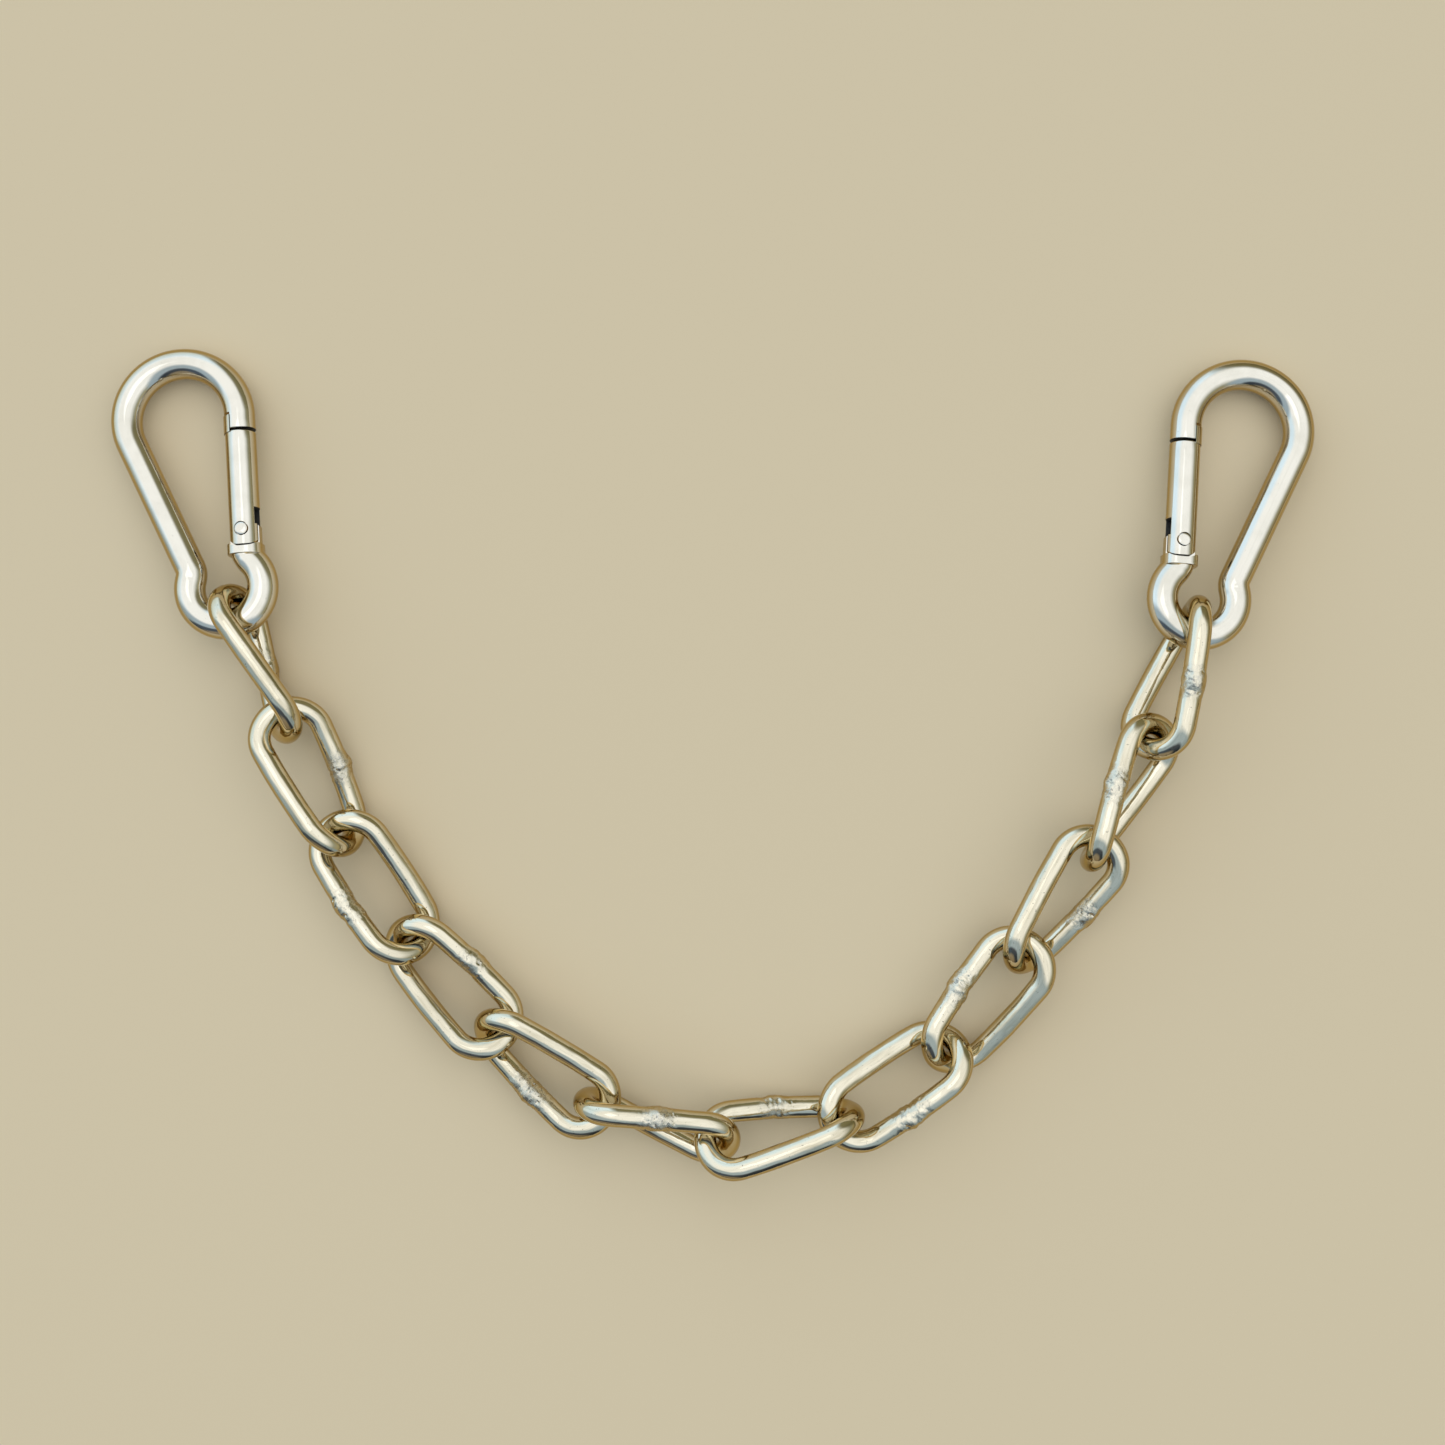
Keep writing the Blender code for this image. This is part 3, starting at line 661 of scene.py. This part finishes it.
def rivet_mesh(plan):
    """The hinge rivet, with a low domed head at each end."""
    gate = plan.gate
    radius = plan.hook.wire / 2
    crown = -radius - gate.rivet_crown
    shoulder = gate.rivet_head_depth - radius
    head = gate.rivet_head / 2
    profile = [(crown + depth, wide * head) for depth, wide in RIVET_DOME]
    profile += [(shoulder, head), (shoulder + RIVET_FILLET, gate.rivet / 2)]
    profile += [(-place, wide) for place, wide in reversed(profile)]
    return turned_profile("gate_rivet", profile, (0.0, 0.0, 1.0))


def plunger_mesh(plan):
    """The pusher: a round head under the spring and a stem inside it."""
    gate = plan.gate
    edge = PLUNGER_EDGE
    foot, top = plan.plunger_foot, plan.plunger_top
    head = gate.bore / 2 - gate.bore_clearance
    stem = head - gate.spring_wire - gate.stem_clearance
    end = top + gate.plunger_stem
    profile = [(foot, head - edge), (foot + edge, head), (top - edge, head), (top, head - edge)]
    profile += [(top + edge / 4, stem + edge / 2), (top + edge, stem)]
    profile += [(end - edge, stem), (end, stem - edge)]
    return turned_profile("plunger", profile, (0.0, 1.0, 0.0))


def spring_mesh(plan):
    """The gate's coil spring, with closed end turns."""
    gate = plan.gate
    radius = gate.bore / 2 - gate.bore_clearance - gate.spring_wire / 2
    foot = plan.spring_foot + gate.spring_wire / 2
    reach = plan.bore_end - gate.gap - foot - gate.spring_wire / 2
    closed_turn = gate.spring_wire * END_TURN
    open_turns = gate.spring_turns - 2
    open_turn = (reach - 2 * closed_turn) / open_turns
    points = []
    for index in range(COIL_STEPS * gate.spring_turns + 1):
        turns = index / COIL_STEPS
        opened = min(max(turns - 1, 0), open_turns)
        place = foot + closed_turn * (turns - opened) + open_turn * opened
        turn = 2 * pi * turns
        points.append(Vector((radius * cos(turn), place, radius * sin(turn))))
    radii = [gate.spring_wire / 2] * len(points)
    return swept_wire("gate_spring", points, radii, COIL_SIDES)


# ---- chain ----
class LinkPlan:
    """One link about its middle, twisted along its length."""

    def __init__(self, chain):
        self.chain = chain
        self.span = chain.pitch + chain.wire
        self.arm = (2 * chain.wire + chain.room) / 2

    def weld_share(self, along):
        """How much of the weld's swell there is at a place along its arm."""
        return exp(-(WELD_TAPER * along / self.chain.weld_length) ** 2)

    def path(self):
        """The centre line, from the near end of the weld's arm."""
        straight = self.span / 2 - self.arm
        points = []
        for index in range(1, WELD_ARM_STEPS):
            along = straight * (2 * index / WELD_ARM_STEPS - 1)
            bulge = self.chain.weld_bow * self.weld_share(along)
            points.append(Vector((along, self.arm + bulge, 0.0)))
        half = arc(Vector((straight, 0, 0)), self.arm, pi / 2, -pi / 2, LINK_END_STEPS)
        points += half
        for index in range(1, PLAIN_ARM_STEPS):
            along = straight * (1 - 2 * index / PLAIN_ARM_STEPS)
            points.append(Vector((along, -self.arm, 0.0)))
        points += [Vector((-point.x, -point.y, 0.0)) for point in half]
        return points

    def twisted(self, point):
        """A point of the flat link after the twist."""
        turn = self.chain.twist * point.x / self.span
        return Vector((point.x, point.y * cos(turn), point.y * sin(turn)))


def link_mesh(plan, number):
    """A twisted link with its bending waves and its own lumpy weld."""
    chain = plan.chain
    seed = Vector((number * 3.1, number * 7.7, number * 1.3))
    chance = Random(number)
    swell_share = chance.uniform(0.3, 1.0)
    ridge_share = chance.uniform(0.0, 0.4)
    ledge_height = chain.ledge * chance.uniform(-1.0, 1.0)
    reach = chain.weld_length * chance.uniform(0.6, 1.0)
    offset = chance.uniform(-WELD_SHIFT, WELD_SHIFT)
    fin_turn = chance.uniform(-pi, pi)
    fin_side = Vector((0.0, cos(fin_turn), sin(fin_turn)))
    flat = plan.path()
    points = [plan.twisted(point) for point in flat]
    radii = []
    for point in flat:
        swell = plan.weld_share(point.x - offset) * swell_share if point.y > 0 else 0.0
        radii.append(chain.wire / 2 * (1 + (chain.weld_swell - 1) * swell))

    def relief(point, outward):
        """Bending waves all over; lumps, a seam, a fin and pits at the weld."""
        spot = point + outward * chain.wire / 2
        wave = (noise.noise(spot * WAVE_FINENESS + seed) - WAVE_DROP) * chain.waviness
        if point.y <= 0:
            return wave
        place = point.x - offset
        near = exp(-((place / reach) ** 4))
        lumps = noise.fractal(spot * LUMP_FINENESS + seed, 0.8, 2.1, 5) * chain.roughness
        across = place + SEAM_WANDER * noise.noise(spot * WANDER_FINENESS - seed)
        ridge = exp(-((across / RIDGE_WIDTH) ** 2)) * ridge_share * chain.roughness
        step = 1 / (1 + exp(-across / LEDGE_SLOPE)) - 0.5
        ledge = ledge_height * step * exp(-((place / LEDGE_LENGTH) ** 2))
        fin = exp(-(((1 - outward.dot(fin_side)) / FIN_WIDTH) ** 2)) * FIN_HEIGHT * chain.roughness
        fin *= abs(noise.noise(spot * FIN_FINENESS + seed))
        depth = max(0.0, noise.noise(spot * PIT_FINENESS + 2 * seed) - PIT_RARITY)
        rough = near * (lumps + fin - chain.pit_depth * depth) + ridge + ledge
        return wave + max(DEEPEST * chain.roughness, min(rough, HIGHEST * chain.roughness))

    name = f"link_{number:02d}"
    mesh = swept_wire(name, points, radii, LINK_SIDES, closed=True, relief=relief)
    mark = mesh.attributes.new("weld", "FLOAT", "POINT")
    for vertex, scaly in zip(mesh.vertices, mark.data):
        place = vertex.co
        turn = -chain.twist * place.x / plan.span
        on_weld_arm = place.y * cos(turn) - place.z * sin(turn) > 0
        near = exp(-(((place.x - offset) / (SCALE_REACH * reach)) ** 4))
        scaly.value = near * swell_share if on_weld_arm else 0.0
    return mesh


# ---- laying the pieces out ----
def hook_turn(hook, lean, hand):
    """How a hook lies: bow on the surface, eye held up, gate to the right or the left."""
    reach = hook.length - hook.eye_radius - hook.wire
    tilt = asin((hook.eye_height - hook.wire / 2) / reach)
    side = hand * Vector((cos(lean), sin(lean), 0.0))
    along = Vector((-sin(lean) * cos(tilt), cos(lean) * cos(tilt), -sin(tilt)))
    return Matrix((side, along, side.cross(along))).transposed()


def placed_at(turn, middle):
    """A place with this turn and its origin here."""
    place = turn.to_4x4()
    place.translation = middle
    return place


def pull_line(first_bar, second_bar, along):
    """The direction in which two crossed bars pull on each other."""
    line = first_bar.cross(second_bar).normalized()
    return line if line.dot(along) > 0 else -line


def link_axes(heading, rise, roll):
    """The three directions of a link that lies at these angles."""
    along = Vector((cos(rise) * cos(heading), cos(rise) * sin(heading), sin(rise)))
    level = Vector((-sin(heading), cos(heading), 0.0))
    arm = level * cos(roll) + along.cross(level) * sin(roll)
    return along, arm, along.cross(arm)


def in_eye(turn, pull):
    """The direction out of a hook's eye to a link in it, and the rim's direction there."""
    out = turn @ Vector((cos(pull), sin(pull), 0.0))
    return out, turn @ Vector((-sin(pull), cos(pull), 0.0))


def layout(scene):
    """Where both hooks and every link lie, matched to the frame's joints."""
    hook, chain = scene.snap_hook, scene.snap_chain
    span = chain.pitch + chain.wire
    half_twist = chain.twist / 2
    eye_reach = (hook.wire + chain.wire) / 2 + chain.eye_gap
    left_turn = hook_turn(hook, hook.left_lean, 1)
    left_eye = Vector((0.0, 0.0, hook.eye_height))
    out, bar = in_eye(left_turn, chain.left_pull)
    pivot = left_eye + hook.eye_radius * out
    reach = eye_reach
    links = []
    pivots = [pivot]
    for angles in LINK_LAY:
        along, arm, face = link_axes(*map(radians, angles))
        near_bar = arm * cos(half_twist) - face * sin(half_twist)
        near = pivot - reach * pull_line(bar, near_bar, along)
        turn = Matrix((along, arm, face)).transposed()
        links.append(placed_at(turn, near + along * span / 2))
        pivot = near + along * span
        bar = arm * cos(half_twist) + face * sin(half_twist)
        reach = chain.wire + chain.gap
        pivots.append(pivot)
    right_turn = hook_turn(hook, hook.right_lean, -1)
    out, rim = in_eye(right_turn, chain.right_pull)
    right_eye = pivot - eye_reach * pull_line(bar, rim, along) - hook.eye_radius * out

    swings = [joint for joint in frame["joints"] if joint["name"].endswith("_swing")]
    swings.sort(key=lambda joint: (joint["child"] == "right_hook", joint["child"]))
    shift = Vector(swings[0]["pos_m"]) - pivots[0]
    for joint, pivot in zip(swings, pivots):
        if (Vector(joint["pos_m"]) - pivot - shift).length > LAY_TOLERANCE:
            raise RuntimeError(f"{joint['name']} isn't where the lay puts it")
    move = Matrix.Translation(shift)
    return {
        "left": move @ placed_at(left_turn, left_eye),
        "right": move @ placed_at(right_turn, right_eye),
        "links": [move @ place for place in links],
    }


def finish_piece(name, mesh, place, body, node, slot):
    """A named piece in its place, finished for its slot and riding on its body."""
    placed = mesh.copy()
    placed.name = name
    placed.transform(place)
    for finish in slot_finishes(slot, bpy.context.scene.snap_finish):
        placed.materials.append(finish)
    placed.shade_smooth()
    placed.set_sharp_from_angle(angle=SHARP_ANGLE)
    made = plain_object(name, placed)
    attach(made, body)
    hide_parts(node)


def finish_pair(scene, maker, piece, body, node, slot):
    """One kind of hook piece, drawn once and put in its place in both hooks."""
    plan = HookPlan(scene.snap_hook, scene.snap_gate)
    mesh = maker(plan)
    places = layout(scene)
    for side in ("left", "right"):
        place = places[side] if body == "hook" else places[side] @ plan.gate_frame
        finish_piece(f"{side}_{piece}", mesh, place, f"{side}_{body}", f"{side}_{node}", slot)


# ---- finishes ----
class NodeTree:
    """A short way to add nodes to a material or a world; what they give is an output."""

    def __init__(self, owner):
        owner.use_nodes = True
        self.owner = owner
        self.tree = owner.node_tree

    def feed(self, node, inputs):
        """Give a node's inputs their values, colours or other nodes' outputs."""
        for key, value in inputs.items():
            socket = node.inputs[key]
            if isinstance(value, bpy.types.NodeSocket):
                self.tree.links.new(value, socket)
            elif socket.type == "RGBA":
                socket.default_value = (*value, 1.0)
            else:
                socket.default_value = value

    def add(self, kind, inputs, output, **settings):
        """One output of a new node."""
        node = self.tree.nodes.new(kind)
        for key, value in settings.items():
            setattr(node, key, value)
        self.feed(node, inputs)
        return node.outputs[output]

    def noted(self, name, output):
        """What a mesh has noted on its vertices."""
        return self.add("ShaderNodeAttribute", {}, output, attribute_name=name)

    def scaled(self, place, factors):
        """Coordinates stretched along each axis."""
        return self.add("ShaderNodeMapping", {"Vector": place, "Scale": factors}, "Vector")

    def noise(self, place, scale, detail, roughness=0.5):
        """A noise pattern."""
        inputs = {"Vector": place, "Scale": scale, "Detail": detail, "Roughness": roughness}
        return self.add("ShaderNodeTexNoise", inputs, "Fac")

    def ramp(self, pattern, *stops):
        """A ramp of greys or colours over a pattern."""
        node = self.tree.nodes.new("ShaderNodeValToRGB")
        elements = node.color_ramp.elements
        while len(elements) < len(stops):
            elements.new(0.5)
        for element, (position, tone) in zip(elements, stops):
            element.position = position
            element.color = (*tone, 1.0) if hasattr(tone, "__len__") else (tone, tone, tone, 1.0)
        self.feed(node, {"Fac": pattern})
        return node.outputs["Color"]

    def spread(self, pattern, low, high, to_low, to_high):
        """A number stretched from one range to another."""
        inputs = {"Value": pattern, "From Min": low, "From Max": high}
        inputs.update({"To Min": to_low, "To Max": to_high})
        return self.add("ShaderNodeMapRange", inputs, "Result")

    def mix(self, factor, first, second):
        """A colour between two others."""
        return self.add("ShaderNodeMix", {0: factor, 6: first, 7: second}, 2, data_type="RGBA")

    def patched(self, base, tone, pattern, low, high, most=1.0):
        """A colour that turns to another one as a pattern goes from low to high."""
        return self.mix(self.ramp(pattern, (low, 0.0), (high, most)), base, tone)

    def product(self, first, second):
        """Two numbers multiplied."""
        return self.add("ShaderNodeMath", {0: first, 1: second}, "Value", operation="MULTIPLY")

    def bump(self, height, strength, distance, **under):
        """A relief in the shading, over another one if its Normal is given."""
        inputs = {"Height": height, "Strength": strength, "Distance": distance, **under}
        return self.add("ShaderNodeBump", inputs, "Normal")

    def painted_reflection_tint(self, base, tint, relief):
        """A painted reflection: the base colour turns to a warm tone where the surface turns away
        from the view, standing in for a warm floor mirrored in shade.
        """
        inputs = {"Blend": 0.5, "Normal": relief}
        facing = self.add("ShaderNodeLayerWeight", inputs, "Facing")
        return self.patched(base, tint, facing, 0.20, 0.54)

    def metal(self, colour, rough, relief):
        """The material, as a metal of this colour, roughness and relief."""
        inputs = {"Metallic": 1.0, "Base Color": colour, "Roughness": rough, "Normal": relief}
        self.feed(self.tree.nodes["Principled BSDF"], inputs)
        return self.owner


def dimmed(tone, light):
    """A darker tone of a colour."""
    return tuple(light * part for part in tone)


def plated_finish(name, finishes):
    """Bright plating over drawn wire: soft clouds, faint draw lines, few specks."""
    made = NodeTree(bpy.data.materials.new(name))
    where = made.add("ShaderNodeTexCoord", {}, "Object")
    shade, polish = finishes.plating_shade, finishes.polish
    long_grain = made.scaled(made.noted("grain", "Vector"), (1.0, 1.0, 0.02))
    draw_lines = made.noise(long_grain, 1500.0, 3.0, 0.6)
    base = made.patched(finishes.plating, shade, made.noise(where, 120.0, 4.0, 0.55), 0.45, 0.75)
    lined = made.patched(base, shade, draw_lines, 0.52, 0.78, 0.5)
    specks = made.noise(where, 1900.0, 2.0, 0.6)
    speckled = made.patched(lined, dimmed(shade, 0.45), specks, 0.72, 0.78)
    haze = made.noise(where, 420.0, 6.0, 0.65)
    rough = made.spread(haze, 0.3, 0.7, 0.75 * polish, 1.7 * polish)
    fine = made.bump(draw_lines, 0.12, 0.00003)
    relief = made.bump(made.noise(where, 230.0, 2.0), 0.14, 0.00014, Normal=fine)
    # The flanks get a painted reflection: warm where the wire turns away from the view.
    return made.metal(made.painted_reflection_tint(speckled, finishes.painted_flank_reflection, relief), rough, relief)


def chain_finish(name, finishes):
    """Plated chain: streaked along the wire, scaly and pitted at the weld."""
    made = NodeTree(bpy.data.materials.new(name))
    grain = made.noted("grain", "Vector")
    weld = made.noted("weld", "Fac")
    where = made.add("ShaderNodeTexCoord", {}, "Object")
    streaks = made.noise(made.scaled(grain, (1.0, 1.0, 0.14)), 560.0, 4.0, 0.62)
    base = made.patched(finishes.chain, finishes.chain_shade, streaks, 0.44, 0.74)
    pitting = made.noise(where, 900.0, 6.0, 0.70)
    scale = made.product(weld, made.ramp(pitting, (0.36, 0.1), (0.66, 0.9)))
    welded = made.mix(scale, base, finishes.weld)
    holes = made.noise(made.scaled(where, (1.3, 0.8, 1.0)), 760.0, 5.0, 0.66)
    black = made.product(weld, made.ramp(holes, (0.57, 0.0), (0.62, 1.0)))
    pitted = made.mix(black, welded, finishes.cut)
    specks = made.noise(where, 1700.0, 2.0, 0.6)
    speckled = made.patched(pitted, dimmed(finishes.chain_shade, 0.3), specks, 0.68, 0.74)
    rough = made.spread(scale, 0.0, 1.0, finishes.chain_polish, 0.36)
    drawn = made.bump(streaks, 0.30, 0.00010)
    waves = made.noise(made.scaled(grain, (1.0, 1.0, 0.3)), 300.0, 2.0)
    waved = made.bump(waves, 0.50, 0.00040, Normal=drawn)
    pits = made.bump(pitting, weld, 0.00024, Normal=waved)
    # The flanks get a painted reflection: warm where the wire turns away from the view.
    return made.metal(made.painted_reflection_tint(speckled, finishes.painted_flank_reflection, pits), rough, pits)


def bare_finish(name, tone, fineness, dark, duller, relief):
    """Unplated steel, with one pattern in its colour, its roughness and its relief."""
    made = NodeTree(bpy.data.materials.new(name))
    marks = made.noise(made.add("ShaderNodeTexCoord", {}, "Object"), fineness, 4.0, 0.6)
    base = made.mix(marks, tone, dimmed(tone, dark))
    return made.metal(base, made.spread(marks, *duller), made.bump(marks, *relief))


# The unplated steels: fineness of the pattern, its darkest tone, what it does to the
# roughness (from, to, smoothest, dullest) and to the relief (strength, depth).
CUT_STEEL = (1400.0, 0.4, (0.3, 0.7, 0.42, 0.62), (0.3, 0.00005))
SPRING_WIRE = (700.0, 0.6, (0.0, 1.0, 0.22, 0.50), (0.2, 0.00004))


def slot_finishes(slot, finishes):
    """What the pieces of a slot are finished with, each made once: skin, then cuts."""
    makers = {
        "plated_steel": (
            ("bright_plating", plated_finish, finishes),
            ("cut_steel", bare_finish, finishes.cut, *CUT_STEEL),
        ),
        "spring_steel": (("spring_wire", bare_finish, finishes.spring, *SPRING_WIRE),),
        "chain_steel": (("plated_chain", chain_finish, finishes),),
    }
    made = bpy.data.materials
    return [made.get(name) or maker(name, *values) for name, maker, *values in makers[slot]]


# ---- operators ----
class SNAPCHAIN_OT_hook_bodies(bpy.types.Operator):
    """Make the two bent wire hook bodies"""

    bl_idname = "snapchain.hook_bodies"
    bl_label = "Hook Bodies"
    bl_options = {"REGISTER", "UNDO"}

    def execute(self, context):
        finish_pair(context.scene, hook_body_mesh, "hook_wire", "hook", "hook_body", "plated_steel")
        return {"FINISHED"}


class SNAPCHAIN_OT_gates(bpy.types.Operator):
    """Make the two sprung gates"""

    bl_idname = "snapchain.gates"
    bl_label = "Gates"
    bl_options = {"REGISTER", "UNDO"}

    def execute(self, context):
        finish_pair(context.scene, gate_mesh, "gate_bar", "gate", "gate", "plated_steel")
        return {"FINISHED"}


class SNAPCHAIN_OT_gate_rivets(bpy.types.Operator):
    """Make the rivets that the gates turn on"""

    bl_idname = "snapchain.gate_rivets"
    bl_label = "Gate Rivets"
    bl_options = {"REGISTER", "UNDO"}

    def execute(self, context):
        finish_pair(context.scene, rivet_mesh, "rivet", "gate", "gate_rivet", "plated_steel")
        return {"FINISHED"}


class SNAPCHAIN_OT_plungers(bpy.types.Operator):
    """Make the plungers inside the gates"""

    bl_idname = "snapchain.plungers"
    bl_label = "Plungers"
    bl_options = {"REGISTER", "UNDO"}

    def execute(self, context):
        finish_pair(context.scene, plunger_mesh, "pusher", "plunger", "plunger", "spring_steel")
        return {"FINISHED"}


class SNAPCHAIN_OT_gate_springs(bpy.types.Operator):
    """Make the coil springs inside the gates"""

    bl_idname = "snapchain.gate_springs"
    bl_label = "Gate Springs"
    bl_options = {"REGISTER", "UNDO"}

    def execute(self, context):
        finish_pair(context.scene, spring_mesh, "coil", "gate", "gate_spring", "spring_steel")
        return {"FINISHED"}


class SNAPCHAIN_OT_links(bpy.types.Operator):
    """Make the twelve twisted welded links"""

    bl_idname = "snapchain.links"
    bl_label = "Chain Links"
    bl_options = {"REGISTER", "UNDO"}

    def execute(self, context):
        plan = LinkPlan(context.scene.snap_chain)
        for number, place in enumerate(layout(context.scene)["links"], 1):
            node = f"link_{number:02d}"
            mesh = link_mesh(plan, number)
            finish_piece(f"chain_{node}", mesh, place, node, node, "chain_steel")
        return {"FINISHED"}


class SNAPCHAIN_OT_stage(bpy.types.Operator):
    """Make the floor, the lamps and the camera"""

    bl_idname = "snapchain.stage"
    bl_label = "Stage"
    bl_options = {"REGISTER", "UNDO"}

    def execute(self, context):
        stage = context.scene.snap_stage
        make_floor(stage)
        light_world(context.scene, stage)
        hang_lamp(stage)
        place_camera(context.scene, stage)
        context.scene.view_settings.view_transform = "Standard"
        return {"FINISHED"}


def make_floor(stage):
    """A plain pale floor."""
    half = stage.floor_size / 2
    low = -stage.floor_drop
    mesh = bpy.data.meshes.new("floor")
    corners = [(-half, -half, low), (half, -half, low), (half, half, low), (-half, half, low)]
    mesh.from_pydata(corners, [], [(0, 1, 2, 3)])
    made = NodeTree(bpy.data.materials.new("pale_floor"))
    inputs = {"Base Color": stage.floor, "Roughness": 0.85, "Specular IOR Level": 0.15}
    made.feed(made.tree.nodes["Principled BSDF"], inputs)
    mesh.materials.append(made.owner)
    plain_object("floor", mesh)


def light_world(scene, stage):
    """Soft light from all round: a window at one side, a dim room, two dark screens."""
    made = NodeTree(bpy.data.worlds.new("studio"))
    scene.world = made.owner
    where = made.add("ShaderNodeTexCoord", {}, "Generated")
    height = made.add("ShaderNodeSeparateXYZ", {"Vector": where}, "Z")

    def towards(turn):
        """How much a direction points to one side of the studio."""
        inputs = {0: where, 1: (cos(turn), sin(turn), 0.0)}
        return made.add("ShaderNodeVectorMath", inputs, "Value", operation="DOT_PRODUCT")

    dim = (0.00, stage.room_edge), (0.12, stage.room_low), (0.36, stage.room_high)
    room = made.ramp(height, *dim, (0.74, stage.overhead))
    cool = (0.00, stage.window_edge), (0.05, stage.window), (0.45, stage.window)
    window = made.ramp(height, *cool, (0.72, stage.overhead))
    grey = (0.40, stage.screen_top), (0.68, stage.screen_top)
    dark = (0.76, stage.screen), (0.88, stage.screen)
    facing = towards(stage.screen_angle)
    screen = made.ramp(facing, *grey, *dark, (0.95, stage.screen_foot))
    sides = made.patched(room, window, towards(stage.window_angle), 0.05, 0.40)
    screened = made.patched(sides, screen, facing, 0.26, 0.46, stage.screen_depth)
    across = towards(stage.card_angle)
    carded = made.patched(screened, stage.card, across, 0.74, 0.88, stage.screen_depth)
    made.feed(made.tree.nodes["Background"], {"Color": carded, "Strength": stage.sky_power})


def hang_lamp(stage):
    """One large softbox overhead."""
    lamp = bpy.data.lights.new("softbox", "AREA")
    lamp.shape = "SQUARE"
    lamp.size = stage.lamp_size
    lamp.energy = stage.lamp_power
    made = plain_object("softbox", lamp)
    made.location = (stage.lamp_x, stage.lamp_y, stage.lamp_height)
    made.rotation_mode = "QUATERNION"
    made.rotation_quaternion = (-made.location).to_track_quat("-Z", "Y")


def place_camera(scene, stage):
    """A camera straight above, with the hooks' bows towards the top."""
    data = bpy.data.cameras.new("camera")
    data.sensor_width = 36.0
    data.lens = stage.lens
    data.clip_start = 0.01
    scene.camera = plain_object("camera", data)
    scene.camera.location = (stage.camera_x, stage.camera_y, stage.camera_height)


class SNAPCHAIN_PT_pieces(bpy.types.Panel):
    """Lists the operators in the 3D view's sidebar."""

    bl_label = "Snap Hook Chain"
    bl_idname = "SNAPCHAIN_PT_pieces"
    bl_space_type = "VIEW_3D"
    bl_region_type = "UI"
    bl_category = "Snap Hook Chain"

    def draw(self, context):
        for operator in OPERATORS:
            self.layout.operator(operator.bl_idname)
        for name in SETTINGS:
            settings = getattr(context.scene, name)
            box = self.layout.box()
            for item in settings.bl_rna.properties:
                if not item.is_readonly and item.identifier != "name":
                    box.prop(settings, item.identifier)


OPERATORS = (
    SNAPCHAIN_OT_hook_bodies,
    SNAPCHAIN_OT_gates,
    SNAPCHAIN_OT_gate_rivets,
    SNAPCHAIN_OT_plungers,
    SNAPCHAIN_OT_gate_springs,
    SNAPCHAIN_OT_links,
    SNAPCHAIN_OT_stage,
)
CLASSES = (*SETTINGS.values(), *OPERATORS, SNAPCHAIN_PT_pieces)


def register():
    """Add the classes and hang their settings on the scene."""
    for item in CLASSES:
        bpy.utils.register_class(item)
    for name, group in SETTINGS.items():
        setattr(bpy.types.Scene, name, PointerProperty(type=group))


def unregister():
    """Take everything away again."""
    for name in SETTINGS:
        delattr(bpy.types.Scene, name)
    for item in reversed(CLASSES):
        bpy.utils.unregister_class(item)


def main():
    """Make every piece and the stage."""
    register()
    bpy.ops.snapchain.hook_bodies()
    bpy.ops.snapchain.gates()
    bpy.ops.snapchain.gate_rivets()
    bpy.ops.snapchain.plungers()
    bpy.ops.snapchain.gate_springs()
    bpy.ops.snapchain.links()
    bpy.ops.snapchain.stage()


if __name__ == "__main__":
    main()
